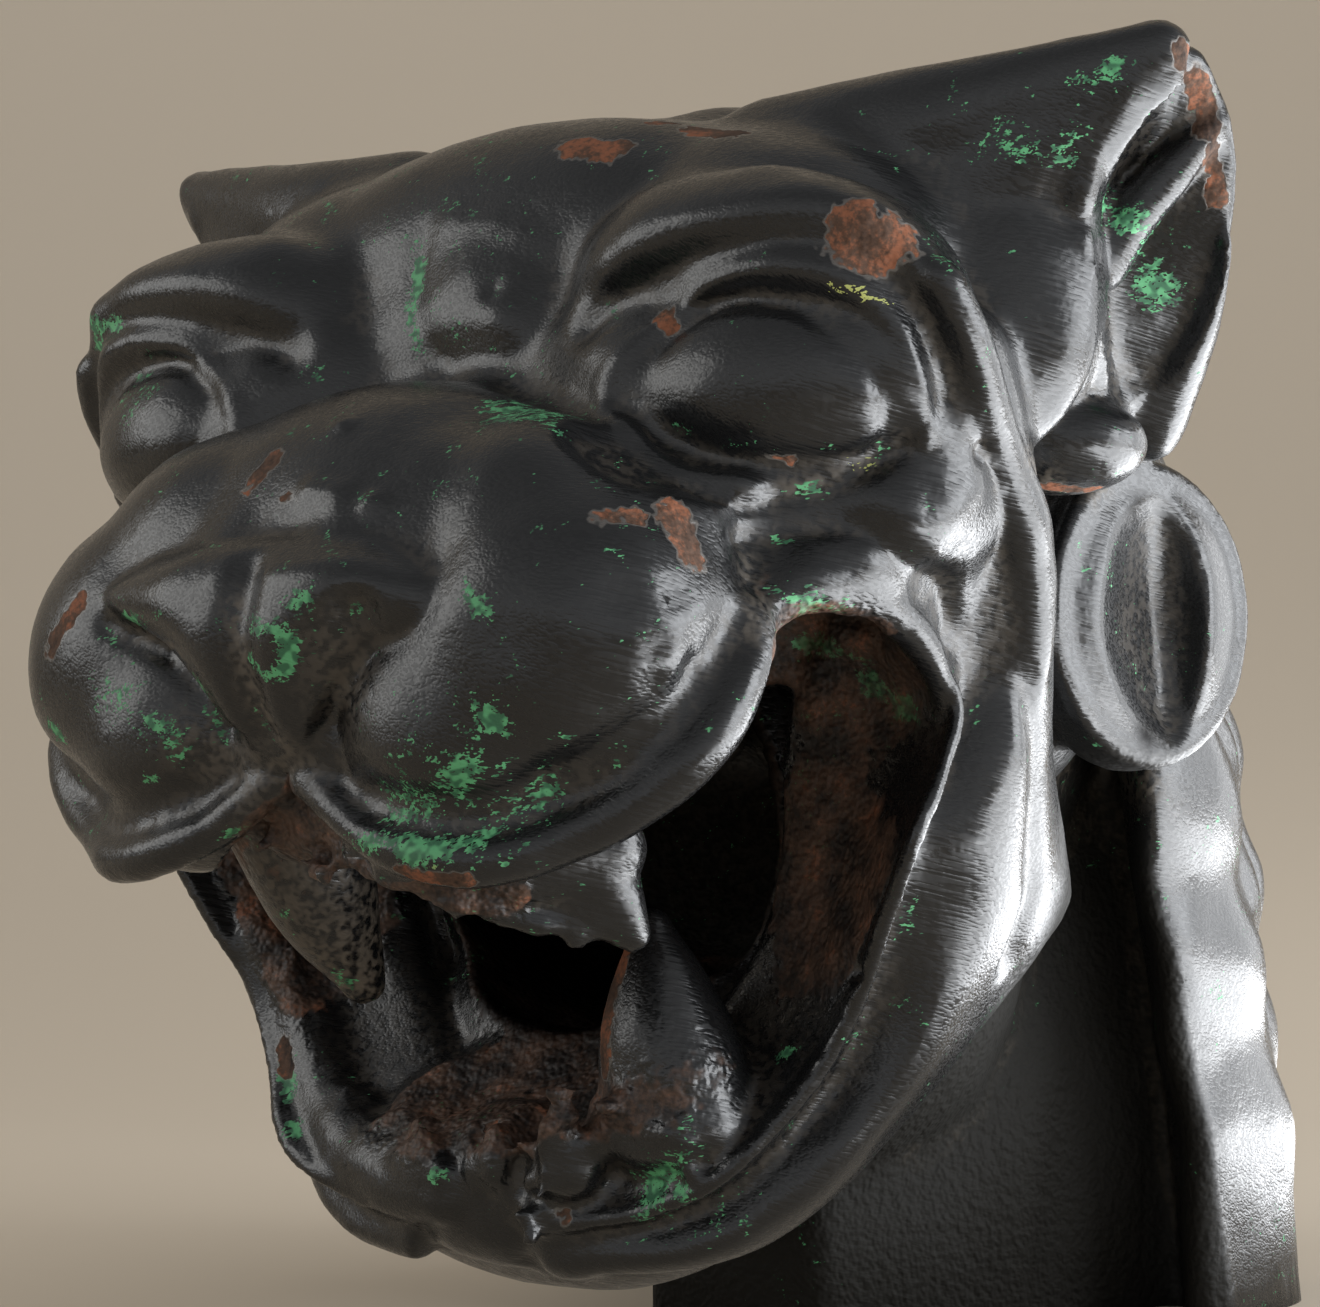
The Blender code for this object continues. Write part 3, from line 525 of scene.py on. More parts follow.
broadStrokes = [
    [9, 2.5, True, [(35, -92, 75), (49, -95, 79), (65, -97, 84), (86, -95, 86), (98, -92, 87), (108, -89, 84)]],
    [7, 2.0, True, [(111, -85, 83), (117, -78, 76), (123, -72, 65), (124, -65, 53), (122, -56, 43),
     (120, -36, 22)]],  # temple
    [5, -2.8, True, [(44, -89, 65), (55, -90, 73), (68, -92, 78), (84, -93, 80), (97, -91, 80), (107, -88, 78),
     (114, -81, 71), (118, -75, 61), (118, -67, 49)]],  # between brow and lid
    [10, 2.0, True, [(50, -92, 60), (60, -104, 36), (74, -106, 26)]],
    [9, -2.4, False, [(36, -120, 42), (38, -136, 28), (38, -147, 12)]],  # beside the bridge
    [12, 1.6, False, [(62, -128, 24), (74, -124, 10)]],
    [9, -1.6, False, [(60, -138, -6), (74, -134, -14)]],
    [7, -2.6, True, [(6, -83, 61), (16, -88, 57), (37, -94, 50), (58, -101, 41), (75, -101, 30), (87, -99, 18),
     (92, -98, 8)]],  # where the muzzle leaves the face
    [19, 2.2, False, [(12, -86, 78)]],  # boss between the brows
    [7, 2.5, True, [(118, -58, 28), (116, -71, 19), (110, -77, 26)]],  # cheekbone
    [6, -3.0, True, [(26, -143, -36), (42, -143, -38), (54, -139, -37), (65, -133, -32), (77, -129, -25),
     (86, -121, -16), (92, -110, -5)]],  # above the lip
    [4, -2.5, True, [(84, -98, 16), (95, -86, 19), (104, -70, 16), (110, -54, 8), (110, -42, -2)]],
    [5, -2.5, True, [(115, -23, -13), (109, -15, -28), (106, -10, -44), (102, -4, -58), (97, -6, -71)]],
]
fineStrokes = [
    [3.5, 2.2, True, [(53, -101, 51), (58, -99, 58), (64, -96, 64), (71, -94, 69), (79, -95, 72), (91, -95, 74),
     (100, -93, 73), (108, -89, 69), (112, -84, 64), (116, -80, 59), (117, -75, 50),
     (117, -72, 40)]],  # upper lid
    [2.8, -1.3, True, [(54, -101, 50), (61, -98, 59), (69, -95, 64), (79, -91, 68), (93, -89, 65),
     (103, -87, 58), (109, -82, 50), (109, -78, 43), (106, -77, 37), (102, -81, 34),
     (95, -88, 32), (86, -95, 33), (75, -96, 36), (67, -99, 40), (60, -100, 45),
     (54, -101, 50)]],  # round the eyeball
    [3.5, 2.0, True, [(54, -100, 46), (63, -102, 38), (75, -101, 32), (88, -95, 28)]],  # lower lid
    [2.5, -1.6, True, [(75, -101, 27), (86, -98, 24), (93, -87, 26), (100, -80, 29), (110, -72, 37)]],
    [4, -0.9, False, [(-14, -78, 95), (-15, -80, 88), (-13, -83, 79), (-10, -85, 69), (-2, -87, 61)]],
    [8, -0.8, False, [(24, -82, 90), (26, -84, 82), (27, -86, 76), (33, -89, 64)]],
    [8, 1.0, False, [(2, -84, 84)]],
    [8, 1.2, False, [(14, -87, 70)]],
    [2.4, -1.2, False, [(12, -88, 79)]],
    [3.5, 0.6, False, [(-12, -78, 96), (-5, -78, 97)]],
    [3.5, 0.6, False, [(1, -79, 96), (8, -79, 95)]],
    [3.5, 0.6, False, [(15, -80, 92), (21, -80, 90)]],
    [4.5, -2.6, False, [(1, -158, 12), (1, -159, 4), (0, -158, -6), (1, -155, -16), (0, -150, -24)]],
    [3.0, -2.0, False, [(-46, -144, 1), (-36, -146, -3), (-27, -147, -6), (-20, -148, -14), (-10, -148, -26)]],
    [2.5, 1.2, False, [(7, -132, 43)]],
    [3.5, 1.5, False, [(7, -143, 28), (14, -144, 27)]],
    [3.0, 1.5, False, [(24, -144, 25)]],
    [3.5, -1.0, False, [(87, -130, -8)]],
    [3.5, -0.9, False, [(91, -121, -5)]],
    [3.0, -0.9, False, [(86, -129, -15)]],
    [2.6, -0.9, False, [(92, -120, -12)]],
    [4.5, -0.8, False, [(80, -134, 2)]],
    [4.0, -0.8, False, [(90, -126, 4)]],
    [2.0, -2.0, False, [(120, -57, 37)]],
    [2.2, -3.5, False, [(88, -54, -75)]],
    [3.5, -2.0, False, [(14, -74, -104), (16, -79, -114), (14, -79, -128), (10, -68, -142)]],  # chin
    [3.5, -1.5, False, [(2, -74, -112), (5, -80, -124), (8, -78, -136)]],
    [3.0, 2.5, False, [(-8, -76, -123)]],
    [3.0, 3.0, False, [(18, -80, -123)]],
    [4.0, 3.0, False, [(12, -60, -147), (18, -58, -146)]],
]
stroke(casting, broadStrokes)
stroke(casting, fineStrokes)
print("strokes made")

# The casting moves to the row's frame, is cut flat below, and is brought under the limit of triangles.

setPoints(casting, pointsOf(casting) + toRow)
bpy.context.view_layer.update()
cube = bmesh.new()
bmesh.ops.create_cube(cube, size=1.0, matrix=Matrix.Translation((0, 0, -0.05)) @ Matrix.Diagonal((0.6, 0.8, 0.1, 1)))
block = bpy.data.meshes.new("block")
cube.to_mesh(block)
cube.free()
below = bpy.data.objects.new("below the neck", block)
bpy.context.scene.collection.objects.link(below)
cut(casting, below)
fewer = casting.modifiers.new("fewer", "DECIMATE")
fewer.ratio = min(1.0, head["most triangles"] / len(trianglesOf(casting)))
applied(casting)
casting.data.shade_smooth()
print("casting", len(trianglesOf(casting)), "triangles")

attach(casting, "root")
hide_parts("gargoyle")

# What the paint is like at every point of the casting.


# Rows of a spot table, and the same rows on the beast's other side.
def twice(table):
    return table + [[width, strength, [(-x, y, z) for x, y, z in knots]] for width, strength, knots in table]


# The strongest of strength * exp(-(distance / width) ** 2) over rows of width, strength and knots.
def closeTo(points, table):
    best = np.zeros(len(points))
    for width, strength, knots in table:
        line = np.array(knots, float)
        near = np.all((points > line.min(0) - 3 * width) & (points < line.max(0) + 3 * width), axis=1)
        away = distanceTo(points[near], line)
        best[near] = np.maximum(best[near], strength * np.exp(-((away / width) ** 2)))
    return best


# How deep each point lies in the balls: 1 in a middle, 0 on a skin, less outside.
def inBalls(points, table):
    best = np.full(len(points), -9.0)
    for middle, half, turn, both in table:
        for side in (1, -1) if both else (1,):
            q = (points * [side, 1, 1] - middle) @ turned(turn) / half
            best = np.maximum(best, 1 - np.linalg.norm(q, axis=1))
    return best


# From 0 at low to 1 at high, smoothly.
def ramp(values, low, high):
    t = np.clip((values - low) / (high - low), 0, 1)
    return t * t * (3 - 2 * t)


greenSpots = [
    [3.0, 1.0, [(-111, -87, 81), (-98, -91, 79)]],  # far brow and eye
    [2.5, 0.9, [(-114, -83, 76), (-109, -87, 77)]],
    [2.5, 0.8, [(-93, -88, 65), (-81, -96, 60)]],
    [7.0, 0.40, [(-92, -94, 55), (-70, -116, 42)]],
    [2.0, 1.0, [(-15, -78, 89), (-13, -81, 81), (-14, -82, 75), (-12, -83, 68)]],  # sides of the boss
    [1.7, 1.0, [(24, -84, 87), (27, -86, 77)]],
    [6.0, 0.45, [(-39, -93, 60), (-30, -87, 65)]],  # top of the muzzle
    [9.0, 0.46, [(31, -115, 48), (52, -115, 42)]],
    [5.0, 0.42, [(42, -89, 68), (51, -90, 72)]],
    [2.8, 0.8, [(70, -96, 43), (72, -95, 41)]],  # near eye
    [3.0, 1.0, [(80, -94, 40), (89, -90, 37), (99, -85, 38)]],
    [2.8, 0.8, [(92, -88, 28), (97, -83, 27)]],
    [4.0, 0.55, [(105, -76, 38), (108, -74, 35)]],
    [6.0, 0.42, [(65, -110, 31), (72, -110, 27)]],
    [2.2, 0.95, [(-37, -151, 1), (-20, -158, 2)]],  # nose
    [1.8, 1.0, [(6, -159, -2), (14, -159, -3), (13, -156, -9), (7, -156, -13), (3, -156, -8)]],
    [2.2, 0.9, [(17, -159, 3), (20, -159, 3)]],
    [2.0, 0.9, [(-13, -153, -14), (-18, -144, -19), (-16, -143, -25)]],
    [2.0, 0.75, [(-1, -152, -17), (1, -147, -25)]],
    [3.4, 0.9, [(56, -147, -20), (59, -145, -22)]],  # near pad
    [2.8, 0.7, [(53, -148, 4), (57, -149, 0)]],
    [5.5, 0.7, [(48, -145, -34), (52, -146, -31)]],
    [4.5, 0.8, [(56, -137, -38), (60, -133, -38)]],
    [4.0, 0.8, [(23, -146, -46), (40, -147, -48), (52, -140, -46)]],
    [9.0, 0.48, [(32, -143, -38), (59, -138, -48)]],
    [7.0, 0.45, [(-44, -149, -14), (-29, -149, -25)]],  # far pad
    [2.0, 0.9, [(-35, -147, -33), (-33, -147, -33)]],
    [2.0, 0.9, [(-66, -143, -22), (-65, -143, -24)]],
    [2.2, 0.9, [(-15, -143, -45), (-13, -142, -44)]],
    [1.8, 0.9, [(90, -90, 18), (94, -90, 15)]],  # cheek
    [3.0, 1.0, [(68, -41, -2), (77, -42, -3), (84, -41, -6)]],  # arch of the mouth's corner
    [3.4, 1.0, [(84, -39, -11), (92, -39, -17)]],
    [5.0, 0.5, [(96, -95, 4), (103, -82, 2)]],
    [2.4, 0.95, [(67, -51, -94), (71, -52, -92)]],  # lower jaw
    [5.0, 0.75, [(57, -73, -110), (46, -68, -123)]],
    [3.0, 0.95, [(44, -69, -127), (53, -69, -123)]],
    [6.0, 0.5, [(57, -57, -130), (63, -54, -127)]],
    [6.0, 0.58, [(93, -41, -66), (95, -36, -57)]],
    [2.2, 1.0, [(-72, -58, -101), (-67, -61, -109)]],
    [2.2, 1.0, [(-62, -66, -115), (-60, -67, -117)]],
    [3.5, 0.5, [(-42, -75, -78), (-41, -73, -81)]],
    [1.8, 0.9, [(-7, -81, -123), (-5, -80, -123)]],
    [5.0, 0.62, [(113, -32, 109), (125, -25, 107)]],  # ear
    [3.0, 0.9, [(131, -25, 122), (136, -23, 125)]],
    [1.8, 0.85, [(115, -31, 86), (116, -31, 85)]],
    [3.5, 0.62, [(120, -77, 80), (126, -76, 71)]],
    [6.0, 0.6, [(125, 14, 84), (129, 18, 79)]],
    [3.0, 0.7, [(100, 36, -22), (102, 39, -24)]],
    [6.0, 0.5, [(128, -8, 98), (133, 6, 88)]],
    [4.0, 0.9, [(26, 36, -147), (28, 39, -155), (29, 40, -163)]],  # neck
    [5.0, 0.42, [(92, 83, -36), (94, 90, -62)]],
] + twice([
    [7.0, 0.55, [(104, -2, 40), (112, 10, 38)]],
    [6.0, 0.45, [(70, 60, 96), (60, 110, 60), (40, 150, 10)]],  # not seen in the photo
    [6.0, 0.5, [(100, 150, -60), (102, 160, -110)]],
])
yellowSpots = [
    [1.8, 0.8, [(94, -87, 64), (102, -85, 58)]],
    [2.0, 0.9, [(104, -90, 69), (109, -88, 68), (113, -83, 66)]],
    [3.5, 0.5, [(102, -79, 33), (107, -75, 35)]],
    [3.0, 0.5, [(30, -146, -49), (44, -146, -50)]],
]
# Chips: the width is the reach of each chip round its line.
chips = [
    [(21, -68, 113), (33, -68, 110), 3.4], [(34, -67, 111), (35, -66, 112), 2.4],
    [(46, -55, 116), (59, -57, 113), 3.2], [(35, -57, 119), (38, -53, 119), 1.6],
    [(-29, -88, 84), (-28, -85, 90), 3.0],
    [(108, -89, 84), (110, -88, 85), 3.6], [(108, -88, 79), (115, -84, 79), 5.6],
    [(110, -85, 75), (111, -84, 75), 3.6], [(116, -83, 82), (117, -82, 80), 3.2],
    [(64, -94, 67), (66, -94, 64), 2.3],
    [(-12, -141, 30), (-8, -137, 37), 2.4], [(0, -143, 27), (1, -143, 27), 1.6],
    [(74, -131, 18), (79, -125, 19), 3.0], [(82, -118, 20), (87, -118, 12), 3.9],
    [(-64, -148, -4), (-55, -147, 6), 2.6],
    [(150, -14, 128), (146, 3, 124), 3.4], [(146, 3, 124), (146, 6, 117), 3.6],
    [(146, 9, 111), (144, 16, 101), 2.6],
    [(-73, -57, -97), (-70, -59, -103), 2.6], [(23, -73, -130), (24, -73, -131), 2.4],
    [(38, -68, -70), (35, -72, -82), 3.0], [(34, -73, -84), (33, -76, -98), 3.6],
    [(2, -72, -112), (8, -76, -116), 2.4],
    [(108, 0, 35), (115, 11, 35), 2.2], [(87, -91, 36), (93, -88, 34), 1.3],
    [(34, -146, -53), (50, -143, -55), 2.0], [(-30, 60, 120), (-22, 66, 119), 4.0],
    [(88, 118, 30), (86, 124, 20), 4.0], [(20, 190, 20), (24, 194, 8), 4.5],
]
dustAndPaintedLightSpots = [
    # far upper fang: a strong pale dust colour that lightens the fang where it lies in shade, painted light; the
    # other rows are real dust
    [17, 1.6, [(-46, -110, -12), (-46, -90, -34), (-44, -78, -58), (-41, -66, -80)]],  # far upper fang
    [2.8, 1.0, [(-39, -146, -1), (-17, -156, -6), (-13, -153, -14), (-17, -143, -25)]],  # nose
    [2.8, 1.0, [(-1, -157, 3), (0, -156, -8), (1, -151, -19), (4, -147, -26)]],
    [9.0, 0.8, [(20, -148, -5), (21, -146, -15)]],
    [8.0, 0.8, [(-21, -146, -26), (-10, -142, -34), (4, -140, -30)]],
] + twice([
    [3.5, 0.9, [(124, -40, 37), (109, 0, 36), (104, 36, 38)]],  # under the ear
    [3.0, 0.7, [(92, -88, 28), (100, -81, 30), (108, -74, 35)]],
    [3.5, 0.7, [(87, -97, 12), (94, -102, 3), (94, -106, -3)]],
    [5.0, 1.0, [(69, 85, -29), (80, 96, -30), (92, 83, -32)]],
])
fangs = [nearRopes[k] for k in (1, 2, 3)]
spots = pointsOf(casting) - toRow
wobble = valueNoise(spots, 9, 5)
bowl = ramp(inBalls(spots, mouthBowl) + 0.05 * wobble, -0.10, 0.06)
throatHole = ramp(-np.hypot(spots[:, 0], spots[:, 2] + 41), -55, -50)
throatHole *= ramp(spots[:, 1], -70, -50) * ramp(-spots[:, 1], -40, -20)
rimNear = closeTo(spots, twice([[6.5, 1.0, jawRails[0]]]))
toothNear = np.max([closeTo(spots, [[knots[k][3] * 0.98, 1.0, [knots[k][:3], knots[k + 1][:3]]]])
                    for knots in fangs for k in range(3)], axis=0)
lipRoll = closeTo(spots, [[10.5, 1.0, [knot[:3] for knot in nearRopes[4]]]])
lipRoll *= ramp(-spots[:, 1] - 0.3 * spots[:, 2], 78, 92)
gumFront = closeTo(spots, [[9, 1.0, [(-9, -135, -42), (4, -134, -45), (2, -134, -36)]],
                           [5, 0.9, [(14, -134, -52), (34, -136, -56), (50, -128, -58)]]])
inside = np.maximum(np.maximum(bowl, throatHole) * (1 - ramp(rimNear, 0.25, 0.6)) * (1 - ramp(toothNear, 0.3, 0.5))
                    * (1 - ramp(lipRoll, 0.42, 0.6)), ramp(gumFront, 0.3, 0.55))
neckSide = ramp(-spots[:, 2], 18, 40) * ramp(spots[:, 1] - 0.32 * np.minimum(0, spots[:, 2] + 40), 10, 34)
bandNear = closeTo(spots, twice([
    [26, 1.0, [(102, 104, -30), (102, 114, -58), (101, 130, -100), (102, 142, -146), (104, 150, -190)]],
    [30, 1.0, [(96, 136, -30), (92, 150, -70), (90, 170, -120), (88, 176, -190)]]]))
neckSide *= (1 - ramp(bandNear, 0.30, 0.42)) * ramp(-spots[:, 1], -150, -130)
chipDepth = np.full(len(spots), -9.0)
for a, b, width in chips:
    chipDepth = np.maximum(chipDepth, 1 - distanceTo(spots, np.array([a, b], float)) / width)


# How far each point lies below the mean of its neighbours, in millimetres, spread over a few rings.
def hollowness(thing):
    points, normals, faces = pointsOf(thing), normalsOf(thing), trianglesOf(thing)
    ends = np.concatenate([faces[:, [0, 1]], faces[:, [1, 2]], faces[:, [2, 0]]])
    count = np.maximum(np.bincount(ends.ravel(), minlength=len(points)), 1)

    def spread(values):
        total = [np.bincount(ends[:, 0], values[ends[:, 1], k], len(points))
                 + np.bincount(ends[:, 1], values[ends[:, 0], k], len(points)) for k in range(values.shape[1])]
        return np.stack(total, -1) / count[:, None]

    wide = points
    for _ in range(5):
        wide = spread(wide)
    depth = np.sum((wide - points) * normals, axis=1)[:, None]
    for _ in range(2):
        depth = spread(depth)
    return depth[:, 0]


# Keep a value for every point of a thing, for its material to read.
def setValue(thing, name, values):
    kept = thing.data.attributes.new(name, "FLOAT", "POINT")
    kept.data.foreach_set("value", values.astype(np.float32))


# The lumps of the casting: noise of several sizes, stronger in the mouth, on the chin and on the side of the neck.
lumpy = (0.45 + 0.5 * inside + 0.3 * neckSide) * valueNoise(spots, 14, 1) + 0.2 * valueNoise(spots, 6, 2)
chinNear = closeTo(spots, [[16, 1.0, [(-40, -66, -118), (-10, -76, -124), (20, -78, -122), (46, -72, -108)]]])
lumpy += inside * (0.8 * valueNoise(spots, 7, 3) + 0.5 * valueNoise(spots, 3.5, 4))
lumpy += 0.25 * neckSide * valueNoise(spots, 5, 6)
lumpy += chinNear * (0.8 * valueNoise(spots, 7, 7) + 0.4 * valueNoise(spots, 3.5, 8))
lumpy *= ramp(spots[:, 2] - neckCut, 1, 6)
setPoints(casting, pointsOf(casting) + normalsOf(casting) * lumpy[:, None])
setValue(casting, "green", closeTo(spots, greenSpots))
setValue(casting, "yellow", closeTo(spots, yellowSpots))
setValue(casting, "dust and painted light", closeTo(spots, dustAndPaintedLightSpots))
setValue(casting, "inside", inside)
setValue(casting, "neck side", neckSide)
# Painted shade: the throat hole and the curl's slit are painted near black, without sheen, where shade falls in these
# deep hollows.
slitLine = [(113, 49, 34), (118, 56, 21), (120, 58, 8), (118, 56, -6), (113, 51, -20)]
slitNear = closeTo(spots, twice([[7, 1.0, slitLine]]))
setValue(casting, "paintedShade", np.maximum(throatHole, ramp(slitNear, 0.2, 0.7)))
setValue(casting, "wide patches", valueNoise(spots, 22, 9))
setValue(casting, "chip", np.clip(chipDepth, -1, 1))
setValue(casting, "hollow", np.clip(hollowness(casting), -1, 1))
print("paint measured")

# Shared effects: small shader groups that the material uses.


# Link what is a socket, and set what is a value.
def feed(tree, socket, value):
    if isinstance(value, bpy.types.NodeSocket):
        tree.links.new(value, socket)
    else:
        socket.default_value = value


# Adds nodes to a tree; a value given for a socket is set and a socket given is linked.
class Tree:
    def __init__(self, tree):
        self.tree = tree

    def add(self, kind, given=(), out=0, **settings):
        node = self.tree.nodes.new(kind)
        for key, value in settings.items():
            setattr(node, key, value)
        for key, value in dict(given).items():
            feed(self.tree, node.inputs[key], value)
        return node.outputs[out]

    def math(self, operation, a, b):
        return self.add("ShaderNodeMath", {0: a, 1: b}, operation=operation)

    # The colour a, with the share factor of b.
    def mix(self, factor, a, b):
        node = self.tree.nodes.new("ShaderNodeMix")
        node.data_type = "RGBA"
        for key, value in ((0, factor), (6, a), (7, b)):
            feed(self.tree, node.inputs[key], value)
        return node.outputs[2]

    # From 0 at low to 1 at high, smoothly.
    def between(self, value, low, high):
        return self.add("ShaderNodeMapRange", {0: value, 1: low, 2: high}, interpolation_type="SMOOTHSTEP")

    # Noise whose grains are about size millimetres across.
    def noise(self, vector, size, detail, rough=0.55):
        given = {"Vector": vector, "Scale": 1 / (size * mm), "Detail": detail, "Roughness": rough}
        return self.add("ShaderNodeTexNoise", given)

    # The same place turned and squeezed, so that what is drawn there comes out as streaks.
    def stretched(self, vector, turn, scale):
        angles = [math.radians(a) for a in turn]
        given = {"Vector": vector, "Rotation": angles}
        turnedPlace = self.add("ShaderNodeVectorRotate", given, rotation_type="EULER_XYZ")
        return self.add("ShaderNodeVectorMath", {0: turnedPlace, 1: scale}, operation="MULTIPLY")


# An empty shader group with its inputs and outputs, and the two ends of its tree.
def effect(name, takes, gives):
    group = bpy.data.node_groups.new(name, "ShaderNodeTree")
    for label, kind, start in takes:
        socket = group.interface.new_socket(label, in_out="INPUT", socket_type="NodeSocket" + kind)
        if start is not None:
            socket.default_value = start
    for label, kind in gives:
        group.interface.new_socket(label, in_out="OUTPUT", socket_type="NodeSocket" + kind)
    return group, Tree(group), group.nodes.new("NodeGroupInput").outputs, group.nodes.new("NodeGroupOutput").inputs


# Link the group's results to its outputs of the same names.
def finish(group, ends, **given):
    for label, socket in given.items():
        group.links.new(socket, ends[label.capitalize()])


# Specks: ragged streaks where the noise is higher than the amount allows.
specks, t, takes, gives = effect(
    "specks", [("Vector", "Vector", None), ("Amount", "Float", 0.5)], [("Mask", "Float")])
streaks = t.stretched(takes["Vector"], (20, 35, 50), (1, 0.38, 1))
fineNoise = t.noise(streaks, 1.35, 2, 0.95)
patches = t.noise(takes["Vector"], 6, 0)
level = t.math("SUBTRACT", 0.84, t.math("MULTIPLY", takes["Amount"], 0.36))
summed = t.math("ADD", t.math("MULTIPLY", fineNoise, 0.80), t.math("MULTIPLY", patches, 0.30))
excess = t.math("SUBTRACT", summed, level)
present = t.between(takes["Amount"], 0.04, 0.12)
finish(specks, gives, mask=t.math("MULTIPLY", t.between(excess, -0.004, 0.006), present))

# Brush marks: very long thin noise.
brush, t, takes, gives = effect("brush marks", [("Vector", "Vector", None)], [("Value", "Float")])
finish(brush, gives, value=t.noise(t.stretched(takes["Vector"], (25, 10, 40), (1, 0.05, 1)), 0.55, 0))

# Rust: patches from near black through brown to orange, and its rough height.
rust, t, takes, gives = effect("rust", [("Vector", "Vector", None), ("Bright", "Float", 0.5)],
                               [("Color", "Color"), ("Value", "Float")])
large = t.noise(takes["Vector"], 8, 0)
small = t.noise(takes["Vector"], 1.6, 2, 0.8)
heat = t.math("ADD", t.math("MULTIPLY", large, 0.5), t.math("MULTIPLY", small, 0.5))
lift = t.math("ADD", heat, t.math("MULTIPLY", t.math("SUBTRACT", takes["Bright"], 0.5), 0.35))
brown = t.mix(t.between(lift, 0.30, 0.60), (0.012, 0.0095, 0.0085, 1), (0.075, 0.043, 0.029, 1))
color = t.mix(t.between(lift, 0.55, 0.72), brown, (0.20, 0.078, 0.042, 1))
finish(rust, gives, color=color, value=heat)

# Rough edge: cuts a smooth field off along a ragged line, and shows a narrow band outside it too.
edge, t, takes, gives = effect(
    "rough edge",
    [("Vector", "Vector", None), ("Value", "Float", 0.0), ("Wobble", "Float", 0.2)],
    [("Mask", "Float"), ("Rim", "Float")],
)
ragged = t.math("SUBTRACT", t.noise(takes["Vector"], 3.2, 1, 0.75), 0.5)
moved = t.math("ADD", takes["Value"], t.math("MULTIPLY", ragged, takes["Wobble"]))
finish(edge, gives, mask=t.between(moved, -0.02, 0.02), rim=t.between(moved, -0.08, -0.03))

# The paint: one material for the whole casting.

paintLook = {
    "black": (0.0065, 0.0068, 0.0072, 1),
    "matt": (0.012, 0.0115, 0.010, 1),
    # throat: near black, the painted shade in the throat hole and the curl's slit
    "throat": (0.002, 0.0015, 0.0012, 1),
    "green": (0.075, 0.29, 0.125, 1),
    "dark green": (0.02, 0.10, 0.045, 1),
    "yellow": (0.30, 0.32, 0.09, 1),
    "paint edge": (0.11, 0.10, 0.09, 1),
    # the pale dust colour: real dust, and painted light on the far upper fang
    "dustAndPaintedLight": (0.17, 0.14, 0.105, 1),
}
paint = bpy.data.materials.new("black paint")
paint.use_nodes = True
t = Tree(paint.node_tree)
shader = paint.node_tree.nodes["Principled BSDF"]
place = t.add("ShaderNodeTexCoord", out=3)


# A value that was measured at every point of the casting.
def field(name):
    return t.add("ShaderNodeAttribute", attribute_name=name, out=2)


# What a shared effect gives at each place of the casting.
def uses(group, **given):
    node = paint.node_tree.nodes.new("ShaderNodeGroup")
    node.node_tree = group
    for label, value in {"vector": place, **given}.items():
        feed(paint.node_tree, node.inputs[label.capitalize()], value)
    return node.outputs


chipEdge = uses(edge, value=t.math("MULTIPLY", field("chip"), 0.35), wobble=0.45)
rustMask = chipEdge["Mask"]
insideValue = field("inside")
insideNoise = t.math("SUBTRACT", t.noise(place, 4.5, 1, 0.8), 0.5)
insideMask = t.between(t.math("ADD", insideValue, t.math("MULTIPLY", insideNoise, 1.1)), 0.32, 0.62)
neckMask = field("neck side")
greenField, yellowField = field("green"), field("yellow")
extra = t.math("MULTIPLY", t.between(field("wide patches"), -0.25, 0.45), 0.47)
amount = t.math("ADD", t.math("MAXIMUM", greenField, yellowField), t.math("MULTIPLY", extra, 0.7))
outside = t.math("SUBTRACT", 1.0, t.math("MULTIPLY", insideMask, 0.6))
greenMask = t.math("MULTIPLY", uses(specks, amount=amount)["Mask"], outside)
brushValue = t.between(uses(brush)["Value"], 0.32, 0.68)
grain = t.noise(place, 2.6, 1, 0.65)
rustUnder = uses(rust, bright=t.math("ADD", 0.40, t.math("MULTIPLY", rustMask, 0.32)))
dustNoise = t.noise(place, 2.6, 1, 0.8)
creases = t.between(field("hollow"), 0.10, 0.45)
# Pale dust colour: real dust on the listed spots and in creases, and painted light on the far upper fang, lightened
# where it lies in shade.
dustAndPaintedLight = t.math("MAXIMUM", t.math("MULTIPLY", field("dust and painted light"), 0.75), t.math("MULTIPLY", creases, 0.22))
dustAndPaintedLight = t.math("MULTIPLY", dustAndPaintedLight, t.between(dustNoise, 0.35, 0.65))
greenTone = t.mix(t.between(t.noise(place, 1.8, 0), 0.36, 0.62), paintLook["dark green"], paintLook["green"])
moreYellow = t.between(t.math("SUBTRACT", yellowField, greenField), 0.0, 0.15)
greenTone = t.mix(moreYellow, greenTone, paintLook["yellow"])
color = t.mix(neckMask, paintLook["black"], paintLook["matt"])
color = t.mix(t.math("MULTIPLY", dustAndPaintedLight, 0.55), color, paintLook["dustAndPaintedLight"])
color = t.mix(insideMask, color, rustUnder["Color"])
# Painted shade: the throat hole and the curl's slit turn near black.
paintedShade = field("paintedShade")
color = t.mix(paintedShade, color, paintLook["throat"])
color = t.mix(greenMask, color, greenTone)
color = t.mix(t.math("MULTIPLY", chipEdge["Rim"], 0.6), color, paintLook["paint edge"])
color = t.mix(rustMask, color, rustUnder["Color"])
bare = t.math("MAXIMUM", rustMask, t.math("MULTIPLY", insideMask, 0.55))
gloss = t.math("ADD", 0.20, t.math("MULTIPLY", brushValue, 0.15))
matt = t.math("MAXIMUM", t.math("MULTIPLY", dustAndPaintedLight, 0.8), t.math("MULTIPLY", greenMask, 0.7))
matt = t.math("MAXIMUM", t.math("MAXIMUM", bare, neckMask), matt)
roughness = t.add("ShaderNodeMapRange", {0: matt, 1: 0.0, 2: 1.0, 3: gloss, 4: 0.78})
grainDepth = t.math("MAXIMUM", t.math("MULTIPLY", rustMask, 0.6), neckMask)
grainDepth = t.math("MAXIMUM", t.math("MULTIPLY", insideValue, 1.6), grainDepth)
